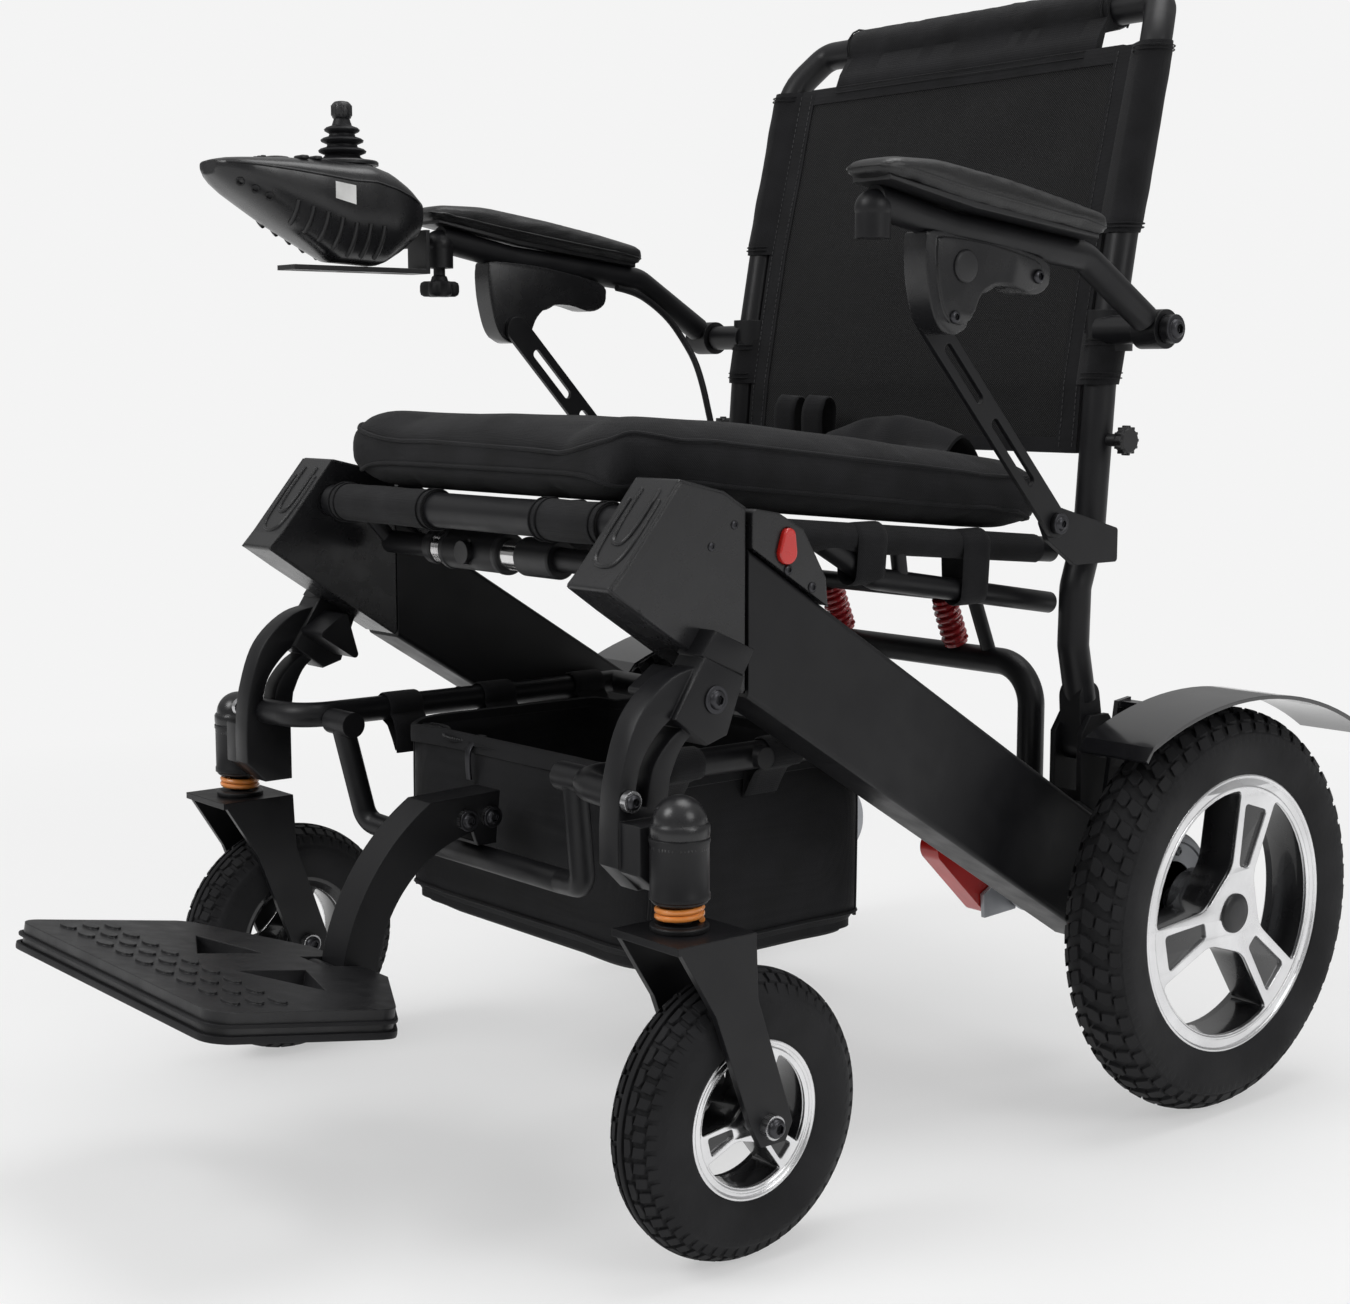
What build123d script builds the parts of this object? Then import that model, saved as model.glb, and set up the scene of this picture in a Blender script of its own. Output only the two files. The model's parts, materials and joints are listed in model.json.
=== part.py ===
# Folding power wheelchair with side battery beams, modelled in millimetres.
# +Z is up, -Y is the way the user faces and +X is the user's left.
# The origin is on the floor, midway between the footplate's front edge and the rear tyres.
from build123d import *
from math import cos, hypot, radians, sin, tan
import os

os.makedirs("parts", exist_ok=True)

# ---------------------------------------------------------------- driving dimensions
AXLE_Y = 310.11  # rear axle behind the origin; side profiles are drawn from the axle

TUBE_R, TUBE_WALL = 12.5, 2.0  # backrest tube
RAIL_R = 10.0  # seat and chassis rails
RUN = 0.05  # radial clearance of a running fit

WHEEL_X, WHEEL_R, WHEEL_W = 305.0, 159.0, 56.0  # rear wheels
RIM_R, RIM_RING_R = 110.0, 96.0
HUB_R, SHAFT_R = 27.0, 9.0

CASTER_X, CASTER_Y, CASTER_Z = 290.0, -482.0, 97.0
CASTER_R, CASTER_W, CASTER_RIM_R = 97.0, 48.0, 54.0
STEER_X, STEER_Y = 287.0, -527.0
HOUSING_R, HOUSING_LOW, HOUSING_TOP = 18.0, 246.0, 286.0
STEM_R, BEARING_R = 8.0, 14.0
FORK_TOP, FORK_PLATE = 226.0, 5.0
LEG_IN, LEG_OUT, LEG_T = 257.0, 323.0, 5.0

BEAM_IN, BEAM_OUT, BEAM_WALL = 194.0, 240.0, 3.0
BEAM_ANGLE = 32.0
SEAM_Y, BEAM_TOP_Z, BEAM_DEPTH = -428.0, 459.0, 85.0
BEAM_LENGTH = 490.0
PACK_LENGTH, PACK_GAP = 280.0, 1.5

PIN_Y, PIN_Z, PIN_R = -45.0, 283.0, 5.0  # backrest hinge
POST_X = 210.0
SEAT_PIN_Y, SEAT_PIN_Z, SEAT_PIN_R = -385.0, 464.0, 6.0
SEAT_X = 178.0
LINK_R, TIE_R = 8.5, 7.5  # lower seat rails and the seat's rear cross tubes

ARM_X, ARM_R = 262.0, 11.0
ARM_PIN_Y, ARM_PIN_Z, ARM_PIN_R = -35.0, 608.0, 7.0
STRUT_Y, STRUT_Z, STRUT_X, STRUT_T = -127.0, 463.0, 244.5, 4.0
STRUT_TOP_Y, STRUT_TOP_Z = -268.0, 613.0
PAD_IN, PAD_OUT = 242.0, 294.0

STICK_X, STICK_Y, STICK_Z = -238.0, -446.0, 745.0
CABLE_R = 3.0

ARM_HALF = 15.0  # half the footrest arm's width
FOOT_BOLTS = [(-484, 250), (-505, 250)]
FOOT_PIN_Y, FOOT_PIN_Z, FOOT_PIN_R = -618.0, 150.0, 4.0


# ---------------------------------------------------------------- helpers
def at(x, y, z):
    """A point given from the rear axle's place on the floor."""
    return (x, y + AXLE_Y, z)


def side(x):
    """The plane of a side profile at x: its first axis is Y from the axle, its second is Z."""
    return Plane(origin=(x, AXLE_Y, 0), x_dir=(0, 1, 0), z_dir=(1, 0, 0))


def across(x, y, z):
    """A plane square to X, centred on an axis that runs across the chair."""
    return Plane(origin=at(x, y, z), x_dir=(0, 1, 0), z_dir=(1, 0, 0))


def level(x, y, z):
    """A level plane whose origin is the given point."""
    return Plane(origin=at(x, y, z), x_dir=(1, 0, 0), z_dir=(0, 0, 1))


def bent(points, radii):
    """Straight runs joined by tangent arcs, one radius for each inner corner."""
    return FilletPolyline(*[at(*point) for point in points], radius=radii)


def tube(points, radii, radius, mode=Mode.ADD):
    """A round bar swept along a bent path, added to or cut from the open part."""
    with BuildLine(mode=Mode.PRIVATE) as line:
        if len(points) > 2:
            bent(points, radii)
        else:
            Line(at(*points[0]), at(*points[1]))
    path = line.wires()[0]
    with BuildSketch(Plane(origin=path @ 0, z_dir=path % 0), mode=Mode.PRIVATE) as section:
        Circle(radius)
    sweep(sections=section.sketch, path=path, mode=mode)


def disc(x, y, z, radius, width, hole=0.0, mode=Mode.ADD):
    """A disc or ring on an axis along X, from x to x + width."""
    with BuildSketch(across(x, y, z)) as section:
        Circle(radius)
        if hole:
            Circle(hole, mode=Mode.SUBTRACT)
    extrude(section.sketch, amount=width, mode=mode)


def post(x, y, z, radius, height, hole=0.0, mode=Mode.ADD):
    """An upright disc or ring from z to z + height."""
    with BuildSketch(level(x, y, z)) as section:
        Circle(radius)
        if hole:
            Circle(hole, mode=Mode.SUBTRACT)
    extrude(section.sketch, amount=height, mode=mode)


def plate(points, x, width, corner=0.0, mode=Mode.ADD):
    """A plate with a side profile of (Y, Z) points, from x to x + width."""
    with BuildSketch(side(x)) as section:
        with BuildLine():
            Polyline(*points, close=True)
        make_face()
        if corner:
            fillet(section.vertices(), corner)
    extrude(section.sketch, amount=width, mode=mode)


def block(low, high, mode=Mode.ADD):
    """A box between two corners given from the rear axle."""
    size = [b - a for a, b in zip(low, high)]
    with BuildSketch(level(low[0], low[1], low[2])) as section:
        Rectangle(size[0], size[1], align=(Align.MIN, Align.MIN))
    extrude(section.sketch, amount=size[2], mode=mode)


def save(part, name):
    part.label = name
    export_step(part, f"parts/{name}.step")


def save_pair(part, name):
    """The left piece as made, and its mirror image for the right."""
    save(part, name + "_left")
    with BuildPart() as right:
        mirror(part, about=Plane.YZ)
    save(right.part, name + "_right")


def both(part):
    """Adds a piece and its mirror image to the open part."""
    add(part)
    mirror(part, about=Plane.YZ)


# ---------------------------------------------------------------- battery beams
COS, SIN = cos(radians(BEAM_ANGLE)), sin(radians(BEAM_ANGLE))


def beam_point(along, down):
    """A (Y, Z) point in the beam: along its top from the seam, then square to it downwards."""
    return (SEAM_Y + along * COS - down * SIN, BEAM_TOP_Z - along * SIN - down * COS)


def beam_profile(inset, start, length):
    """The beam's side outline, with an upright front edge and a square rear end."""
    lean = tan(radians(BEAM_ANGLE))
    return [
        beam_point(start + inset * lean, inset),
        beam_point(length, inset),
        beam_point(length, BEAM_DEPTH - inset),
        beam_point(start + (BEAM_DEPTH - inset) * lean, BEAM_DEPTH - inset),
    ]


with BuildPart() as beam:
    plate(beam_profile(0, 0, BEAM_LENGTH), BEAM_IN, BEAM_OUT - BEAM_IN)
    fillet(beam.edges().filter_by(Axis.X, reverse=True).filter_by(
        lambda edge: edge.length > BEAM_LENGTH * 0.8), 4)
    plate(beam_profile(BEAM_WALL, -20, BEAM_LENGTH - BEAM_WALL), BEAM_IN + BEAM_WALL,
          BEAM_OUT - BEAM_IN - 2 * BEAM_WALL, mode=Mode.SUBTRACT)
save_pair(beam.part, "beam")

# Battery: a long pack inside the beam and a moulded end cap in front of the seam.
CAP_PROFILE = [
    (-520, 420), (-546, 438), (-535, 449), (-487, 507), (-449, 498), (SEAM_Y - 1, 486), (SEAM_Y - 1, 360),
]
with BuildPart() as battery:
    plate(CAP_PROFILE, BEAM_IN + 0.5, BEAM_OUT - BEAM_IN - 1)
    fillet(battery.edges().filter_by(Axis.X), 2.5)
    chamfer(battery.faces().sort_by(Axis.X)[-1].edges(), 2)
    # finger recess across the cap's front face
    with Locations(Pos(*at((BEAM_IN + BEAM_OUT) / 2, -503, 478))):
        Cylinder(4, BEAM_OUT - BEAM_IN - 14, rotation=(0, 90, 0), mode=Mode.SUBTRACT)
    plate(beam_profile(BEAM_WALL + PACK_GAP, -8, PACK_LENGTH), BEAM_IN + BEAM_WALL + PACK_GAP,
          BEAM_OUT - BEAM_IN - 2 * (BEAM_WALL + PACK_GAP))
save_pair(battery.part, "battery")

# Rounded cover over the seat pivot, with a pocket for the release button.
BUTTON_Y, BUTTON_Z, BUTTON_R, BUTTON_T, BUTTON_GAP = -397.0, 459.0, 8.0, 7.0, 0.4
COVER_OUT = BEAM_OUT + 2.5


def teardrop(x, grow, width, mode=Mode.ADD):
    """The button's outline: a round lower end and a round, narrower upper end."""
    with BuildSketch(side(x)) as section:
        with Locations((BUTTON_Y, BUTTON_Z - 4)):
            Circle(BUTTON_R + grow)
        with Locations((BUTTON_Y + 1, BUTTON_Z + 7)):
            Circle(BUTTON_R * 0.7 + grow)
        make_hull()
    extrude(section.sketch, amount=width, mode=mode)


with BuildPart() as cover:
    plate([(SEAM_Y + 1, 459.5), (SEAM_Y + 1, 486), (-404, 482), (-381, 470), (-360, 436),
           beam_point(82, -1)], BEAM_IN, COVER_OUT - BEAM_IN)
    fillet(cover.edges().filter_by(Axis.X).group_by(Axis.Z)[-1], 4)
    teardrop(COVER_OUT - 9, BUTTON_GAP, 20, mode=Mode.SUBTRACT)
    disc(BEAM_IN - 1, SEAT_PIN_Y, SEAT_PIN_Z - 4, SEAT_PIN_R, 12, mode=Mode.SUBTRACT)
with BuildPart() as hinge_covers:
    both(cover.part)
save(hinge_covers.part, "hinge_covers")

with BuildPart() as release_button:
    teardrop(COVER_OUT - 3.5, 0, BUTTON_T)
    fillet(release_button.faces().sort_by(Axis.X)[-1].edges(), 1.5)
save_pair(release_button.part, "release_button")

# ---------------------------------------------------------------- caster arms
BLADE_X, BLADE_T = 243.0, 10.0
with BuildPart() as bracket:
    plate([(-500, 366), (-470, 386.5), beam_point(14, BEAM_DEPTH + 0.3), beam_point(-2, BEAM_DEPTH + 1),
           (-462, 341)], BEAM_IN + 4, BLADE_X - BEAM_IN - 4, corner=3)
with BuildPart() as caster_arm:
    with BuildSketch(side(BLADE_X)) as blade:
        with BuildLine():
            ThreePointArc((-478, 387), (-531, 369), (-566, 312))
            Line((-566, 312), (-565, 262))
            Line((-565, 262), (-530, 244))
            Line((-530, 244), (-508, 244))
            Line((-508, 244), (-508, 300))
            ThreePointArc((-508, 300), (-500, 330), (-457, 352))
            Line((-457, 352), (-478, 387))
        make_face()
    extrude(blade.sketch, amount=BLADE_T)
    with BuildSketch(side(BLADE_X)) as slot:
        SlotArc(ThreePointArc((-540, 326), (-531, 343), (-512, 358), mode=Mode.PRIVATE), height=10)
    extrude(slot.sketch, amount=BLADE_T, mode=Mode.SUBTRACT)
    plate([(-565, 296), (-565, 262), (-530, 244), (-512, 244), (-512, 296)], BLADE_X + BLADE_T, 20)
    post(STEER_X, STEER_Y, HOUSING_LOW, HOUSING_R, HOUSING_TOP - HOUSING_LOW)
    post(STEER_X, STEER_Y, HOUSING_LOW, BEARING_R, HOUSING_TOP - HOUSING_LOW, mode=Mode.SUBTRACT)
    post(STEER_X, STEER_Y, HOUSING_TOP, HOUSING_R + 0.4, 20, mode=Mode.SUBTRACT)
save_pair(caster_arm.part, "caster_arm")

with BuildPart() as steering_bearings:
    for x in (STEER_X, -STEER_X):
        for z in (HOUSING_LOW + 1, HOUSING_TOP - 13):
            post(x, STEER_Y, z, BEARING_R, 10, hole=STEM_R + RUN)
save(steering_bearings.part, "steering_bearings")

with BuildPart() as cap:
    post(STEER_X, STEER_Y, HOUSING_TOP, HOUSING_R, 9)
    with Locations(Pos(*at(STEER_X, STEER_Y, HOUSING_TOP + 9))):
        Sphere(HOUSING_R - 1.5, arc_size1=0)
    post(STEER_X, STEER_Y, HOUSING_TOP - 1, STEM_R + 3, 15, mode=Mode.SUBTRACT)
with BuildPart() as steering_caps:
    both(cap.part)
save(steering_caps.part, "steering_caps")

# ---------------------------------------------------------------- caster forks and wheels
SPRING_TOP, SPRING_LOW = 243.0, 231.0
with BuildPart() as fork:
    block((LEG_IN, -558, FORK_TOP - FORK_PLATE), (LEG_OUT, -494, FORK_TOP))
    leg = [(-558, FORK_TOP), (-494, FORK_TOP), (-492, 182), (-462, 96), (-468, 84), (-489, 84),
           (-497, 98), (-527, 177)]
    plate(leg, LEG_IN, LEG_T)
    plate(leg, LEG_OUT - LEG_T, LEG_T)
    for x in (LEG_IN, LEG_OUT - LEG_T):
        disc(x - 1, CASTER_Y, CASTER_Z, 5, LEG_T + 2, mode=Mode.SUBTRACT)
    post(STEER_X, STEER_Y, FORK_TOP - 8, STEM_R, HOUSING_TOP - FORK_TOP + 10)
    post(STEER_X, STEER_Y, FORK_TOP - 14, 10, 14 - FORK_PLATE)  # lock nut under the plate
    post(STEER_X, STEER_Y, FORK_TOP, 16, SPRING_LOW - FORK_TOP)  # lower spring seat
save_pair(fork.part, "caster_fork")

with BuildPart() as caster_spring:
    post(STEER_X, STEER_Y, SPRING_LOW, 16, SPRING_TOP - SPRING_LOW, hole=STEM_R + 3)
    for z in (SPRING_LOW + 2.2, SPRING_LOW + 7.2):
        post(STEER_X, STEER_Y, z, 20, 2.6, hole=14, mode=Mode.SUBTRACT)
save_pair(caster_spring.part, "caster_spring")

AXLE_R = 5.0
with BuildPart() as caster_axle:
    disc(LEG_IN - 1, CASTER_Y, CASTER_Z, AXLE_R, LEG_OUT - LEG_IN + 2)
    disc(LEG_IN - 6, CASTER_Y, CASTER_Z, 8, 6)
    disc(LEG_OUT, CASTER_Y, CASTER_Z, 8, 6)
save_pair(caster_axle.part, "caster_axle")


def spoked_rim(x, y, z, width, radius, ring, hub, bore, arm_in, arm_out, phase):
    """A wheel rim on an axis along X: a ring, a hub and three arms that widen outwards, each with a pocket."""
    half = width / 2
    with BuildPart() as rim:
        disc(x - half, y, z, radius, width, hole=ring)
        disc(x - half - 2, y, z, hub, width + 4)
        for turn in range(3):
            c, s = cos(radians(phase + turn * 120)), sin(radians(phase + turn * 120))

            def corners(inner, outer, thin):
                """Four corners of an arm's outline between two reaches, thin narrower on each side."""
                return [(y + reach * c - spread * s, z + reach * s + spread * c) for reach, spread in (
                    (inner, thin - arm_in), (outer, thin - arm_out), (outer, arm_out - thin),
                    (inner, arm_in - thin))]

            plate(corners(hub - 3, ring + 1, 0), x + half * 0.1, half * 0.8)
            plate(corners(hub + ring * 0.07, ring * 0.9, arm_in * 0.55), x + half * 0.9 - width * 0.12,
                  width * 0.2, mode=Mode.SUBTRACT)
        disc(x - half - 3, y, z, bore, width + 6, mode=Mode.SUBTRACT)
    return rim.part


def tyre(x, y, z, width, radius, inner, shoulder):
    """A tyre of revolution: rounded tread, bulged walls, seated on its rim."""
    half = width / 2
    with BuildPart() as body:
        with BuildSketch(Plane(origin=at(x, y, z), x_dir=(1, 0, 0), z_dir=(0, -1, 0))) as section:
            with BuildLine():
                ThreePointArc((-half + 4, inner), (-half, (inner + radius) / 2 - 2),
                              (-half + shoulder, radius - shoulder * 0.6))
                ThreePointArc((-half + shoulder, radius - shoulder * 0.6), (0, radius),
                              (half - shoulder, radius - shoulder * 0.6))
                ThreePointArc((half - shoulder, radius - shoulder * 0.6),
                              (half, (inner + radius) / 2 - 2), (half - 4, inner))
                Line((half - 4, inner), (-half + 4, inner))
            make_face()
        revolve(section.sketch, axis=Axis(at(x, y, z), (1, 0, 0)))
    return body.part


save_pair(spoked_rim(CASTER_X, CASTER_Y, CASTER_Z, CASTER_W - 8, CASTER_RIM_R, CASTER_RIM_R - 8, 17,
                     AXLE_R + RUN, 7, 12, 75), "caster_rim")
save_pair(tyre(CASTER_X, CASTER_Y, CASTER_Z, CASTER_W, CASTER_R, CASTER_RIM_R, 9), "caster_tyre")

# ---------------------------------------------------------------- rear wheels and motors
save_pair(spoked_rim(WHEEL_X, 0, WHEEL_R, WHEEL_W - 8, RIM_R, RIM_RING_R, HUB_R,
                     SHAFT_R + RUN, 13.5, 24, 73), "rear_rim")
save_pair(tyre(WHEEL_X, 0, WHEEL_R, WHEEL_W, WHEEL_R, RIM_R, 11), "rear_tyre")

MOTOR_END = BEAM_IN - 76
LEVER_Y, LEVER_Z, LEVER_PIN_R = -48.0, 136.0, 5.0
with BuildPart() as motor:
    disc(BEAM_OUT, 0, WHEEL_R, 54, 26)
    fillet(motor.edges().filter_by(GeomType.CIRCLE).sort_by(Axis.X)[-1], 5)
    disc(BEAM_OUT + 26, 0, WHEEL_R, SHAFT_R, WHEEL_X + 22 - BEAM_OUT - 26)
    disc(BEAM_IN - 76, 0, WHEEL_R, 36, 76)
    disc(BEAM_IN - 84, 0, WHEEL_R, 28, 8)
    # ear and pin of the freewheel lever
    plate([(-10, 186), (-44, 152), (-60, 144), (-58, 124), (-20, 126)], MOTOR_END, 4)
    disc(MOTOR_END - 24, LEVER_Y, LEVER_Z, LEVER_PIN_R, 26)
with BuildPart() as drive_motors:
    both(motor.part)
save(drive_motors.part, "drive_motors")

FENDER_X, FENDER_W, FENDER_T = 272.0, 64.0, 3.0
with BuildPart() as fender:
    with BuildSketch(side(FENDER_X)) as sheet:
        with BuildLine():
            outer = ThreePointArc((-117, 303), (42, 327), (163, 286))
            Line((163, 286), (161, 283))
            ThreePointArc((161, 283), (42, 327 - FENDER_T), (-117, 303 - FENDER_T))
            Line((-117, 303 - FENDER_T), (-123, 292))
            Line((-123, 292), (-125, 294))
            Line((-125, 294), (-117, 303))
        make_face()
    extrude(sheet.sketch, amount=FENDER_W)
    # stay from the beam's outer face up to the sheet
    plate([(-60, 222), (-36, 206), (-28, 322), (-44, 320)], BEAM_OUT, 4)
    block((BEAM_OUT, -42, 315), (FENDER_X + 12, -30, 320))
with BuildPart() as fenders:
    both(fender.part)
save(fenders.part, "fenders")

# ---------------------------------------------------------------- lower chassis
REAR_TIE_Y = -215.0
with BuildPart() as lower_frame:
    for s in (1, -1):
        tube([(s * (BLADE_X - 1), -531, 303), (s * SEAT_X, -528, 305), (s * SEAT_X, REAR_TIE_Y, 305)],
             [26], RAIL_R)
        tube([(s * (SEAT_X + 2), -370, 305), (s * (BEAM_IN + 0), -370, 305)], [], 8)
    tube([(-SEAT_X, REAR_TIE_Y, 305), (SEAT_X, REAR_TIE_Y, 305)], [], RAIL_R)
save(lower_frame.part, "lower_frame")

DROP_X, DROP_Y, DROP_Z = 128.0, -486.0, 218.0
with BuildPart() as front_cross_tube:
    tube([(152, -507, 297), (DROP_X + 14, -493, 222), (DROP_X - 20, DROP_Y, DROP_Z),
          (-DROP_X + 20, DROP_Y, DROP_Z), (-DROP_X - 14, -493, 222), (-152, -507, 297)],
         [14, 14, 14, 14], 9)
    for s in (1, -1):
        disc(s * 152 - 16, -507, 301, 10, 32)
save(front_cross_tube.part, "front_cross_tube")

with BuildPart() as frame_bolts:
    for s in (1, -1):
        disc(s * 255.5 - 2.5, -472, 364, 9, 5)
        disc(s * 255.5 - 2.5, -541, 305, 7, 5)
        # backrest hinge pin through both cheeks
        disc(s * POST_X - 18, PIN_Y, PIN_Z, PIN_R, 36)
        disc(s * (POST_X + 18.5) - 2.5, PIN_Y, PIN_Z, 9, 5)
        # seat pivot pin out of the cover
        disc(s * (BEAM_IN - 4) - 14, SEAT_PIN_Y, SEAT_PIN_Z - 4, SEAT_PIN_R, 28)
    for y, z in FOOT_BOLTS:
        disc(-ARM_HALF - 5, y, z, 4, 2 * ARM_HALF + 10)
        for x in (-ARM_HALF - 5, ARM_HALF):
            disc(x, y, z, 7.5, 5)
    # hinge pin of the footplate
    disc(-40, FOOT_PIN_Y, FOOT_PIN_Z, FOOT_PIN_R, 80)
save(frame_bolts.part, "frame_bolts")

with BuildPart() as lug:
    cheek = [(PIN_Y - 20, 240), (PIN_Y + 22, 214), (PIN_Y + 22, PIN_Z + 12), (PIN_Y + 12, PIN_Z + 24),
             (PIN_Y - 10, PIN_Z + 24), (PIN_Y - 20, PIN_Z + 10)]
    for x in (POST_X - 16, POST_X + 11):
        plate(cheek, x, 5)
        disc(x - 1, PIN_Y, PIN_Z, PIN_R, 7, mode=Mode.SUBTRACT)
    plate([(PIN_Y - 20, 240), (PIN_Y + 22, 214), (PIN_Y + 22, 222), (PIN_Y - 20, 248)], POST_X - 16, 32)
    plate(beam_profile(0, -5, BEAM_LENGTH + 5), BEAM_IN - 20, 100, mode=Mode.SUBTRACT)
with BuildPart() as beam_brackets:
    both(lug.part)
    both(bracket.part)
save(beam_brackets.part, "beam_brackets")

# ---------------------------------------------------------------- storage bag
BAG_X, BAG_FRONT, BAG_REAR, BAG_LOW, BAG_TOP, CLOTH = 160.0, -452.0, -228.0, 148.0, 292.0, 3.0
with BuildPart() as bag:
    block((-BAG_X, BAG_FRONT, BAG_LOW), (BAG_X, BAG_REAR, BAG_TOP))
    block((-BAG_X + CLOTH, BAG_FRONT + CLOTH, BAG_LOW + CLOTH),
          (BAG_X - CLOTH, BAG_REAR - CLOTH, BAG_TOP + 1), mode=Mode.SUBTRACT)
save(bag.part, "storage_bag")

# ---------------------------------------------------------------- backrest
POST_PATH = [(-49, 318), (-59, 362), (-58, 408), (-43, 452), (-34, 567), (-12, 683), (24, 836), (52, 868)]
with BuildPart() as back_frame:
    outline = [(POST_X, y, z) for y, z in POST_PATH[:-1]]
    outline += [(POST_X - 18, *POST_PATH[-1]), (18 - POST_X, *POST_PATH[-1])]
    outline += [(-x, y, z) for x, y, z in outline[:len(POST_PATH) - 1][::-1]]
    bends = [18, 18, 30, 60, 60, 60, 16, 16, 60, 60, 60, 30, 18, 18]
    tube(outline, bends, TUBE_R)
    tube(outline, bends, TUBE_R - TUBE_WALL, mode=Mode.SUBTRACT)
    for s in (1, -1):
        with BuildSketch(side(s * POST_X - 10.5)) as eye:
            with Locations((PIN_Y, PIN_Z)):
                Circle(14)
            with Locations((PIN_Y - 5, PIN_Z + 38)):
                Circle(12)
            make_hull()
        extrude(eye.sketch, amount=21)
        disc(s * POST_X - 12, PIN_Y, PIN_Z, PIN_R + RUN, 24, mode=Mode.SUBTRACT)
save(back_frame.part, "back_frame")

PANEL_X, PANEL_LOW, ROLL_X = 194.0, 512.0, 150.0
with BuildPart() as back_upholstery:
    with BuildSketch(side(-PANEL_X)) as sling:
        with BuildLine():
            Polyline((-43, PANEL_LOW), (-38.5, 567), (-17, 683), (20, 832), (28, 832), (-9, 683),
                     (-30, 567), (-35, PANEL_LOW), close=True)
        make_face()
    extrude(sling.sketch, amount=2 * PANEL_X)
    disc(-ROLL_X, 52, 868, 20, 2 * ROLL_X, hole=TUBE_R)
    plate([(20, 831), (28, 831), (46, 855), (38, 860)], -ROLL_X, 2 * ROLL_X)
save(back_upholstery.part, "back_upholstery")

with BuildPart() as pivot:
    post(POST_X, -24, 592, 18, 32)
    disc(POST_X, ARM_PIN_Y, ARM_PIN_Z, 11, ARM_X - 14 - POST_X)
    disc(POST_X, ARM_PIN_Y, ARM_PIN_Z, ARM_PIN_R, ARM_X + 18 - POST_X)
    disc(ARM_X + 12.5, ARM_PIN_Y, ARM_PIN_Z, 11, 7)
    # lower clamp with the strut's plate
    post(POST_X, -46, 430, 17, 24)
    plate([(-50, 430), (-50, 456), (-120, 475), (-139, 465), (-131, 450), (-100, 430)],
          STRUT_X - 5.5, 5, corner=3)
    block((POST_X + 10, -56, 434), (STRUT_X - 5.5, -48, 452))
    disc(STRUT_X - 6, STRUT_Y, STRUT_Z, 5, 12)
    disc(STRUT_X + STRUT_T + 0.5, STRUT_Y, STRUT_Z, 8, 3)
with BuildPart() as arm_pivots:
    both(pivot.part)
    tube(outline, bends, TUBE_R, mode=Mode.SUBTRACT)
    add(back_upholstery.part, mode=Mode.SUBTRACT)
save(arm_pivots.part, "arm_pivots")

# ---------------------------------------------------------------- armrests
ARM_PATH = [(-338, 689), (-265, 675), (-121, 660), (-48, 616)]
ARM_BENDS = [60, 30]
SOCKET_Y, SOCKET_R, SOCKET_DEPTH = -338.0, 7.0, 16.0
with BuildPart() as armrest:
    tube([(ARM_X, y, z) for y, z in ARM_PATH], ARM_BENDS, ARM_R)
    disc(ARM_X - 11.5, ARM_PIN_Y, ARM_PIN_Z, 15, 23)
    disc(ARM_X - 12, ARM_PIN_Y, ARM_PIN_Z, ARM_PIN_R + RUN, 24, mode=Mode.SUBTRACT)
    # front socket hanging under the tube's end
    post(ARM_X, SOCKET_Y, 664, 12, 20)
    with Locations(Pos(*at(ARM_X, SOCKET_Y, 684))):
        Sphere(12.5)
    post(ARM_X, SOCKET_Y, 664, SOCKET_R, SOCKET_DEPTH, mode=Mode.SUBTRACT)
save_pair(armrest.part, "armrest_tube")

with BuildPart() as strut_bracket:
    plate([(-296, 672), (-292, 612), (-268, 600), (-244, 622), (-180, 632), (-166, 652), (-170, 668)],
          STRUT_X + STRUT_T + 0.6, 22, corner=4)
    for y, z in ((-270, 642), (-182, 645)):
        disc(STRUT_X + STRUT_T + 22.6, y, z, 11 if y < -200 else 7, 3)
    tube([(ARM_X, y, z) for y, z in ARM_PATH], ARM_BENDS, ARM_R, mode=Mode.SUBTRACT)
save_pair(strut_bracket.part, "strut_bracket")

with BuildPart() as arm_pad:
    plate([(-354, 704), (-342, 716), (-302, 716), (-126, 689), (-126, 672.5), (-262, 689), (-346, 703)],
          PAD_IN, PAD_OUT - PAD_IN)
    fillet(arm_pad.edges().filter_by(Axis.X, reverse=True).group_by(Axis.Z)[-1], 3)
save_pair(arm_pad.part, "arm_pad")

STRUT_LENGTH = hypot(STRUT_TOP_Y - STRUT_Y, STRUT_TOP_Z - STRUT_Z)
with BuildPart() as strut:
    lean = Plane(origin=at(STRUT_X, STRUT_Y, STRUT_Z), z_dir=(1, 0, 0),
                 x_dir=(0, (STRUT_TOP_Y - STRUT_Y) / STRUT_LENGTH, (STRUT_TOP_Z - STRUT_Z) / STRUT_LENGTH))
    with BuildSketch(lean) as flat:
        with Locations((STRUT_LENGTH / 2, 0)):
            SlotCenterToCenter(STRUT_LENGTH, 22)
        with Locations((0, 0)):
            Circle(5 + RUN, mode=Mode.SUBTRACT)
        with Locations((STRUT_LENGTH * 0.36, 0)):
            SlotCenterToCenter(58, 8, mode=Mode.SUBTRACT)
        with Locations((STRUT_LENGTH * 0.74, 0)):
            SlotCenterToCenter(48, 8, mode=Mode.SUBTRACT)
    extrude(flat.sketch, amount=STRUT_T)
save_pair(strut.part, "armrest_strut")

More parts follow.
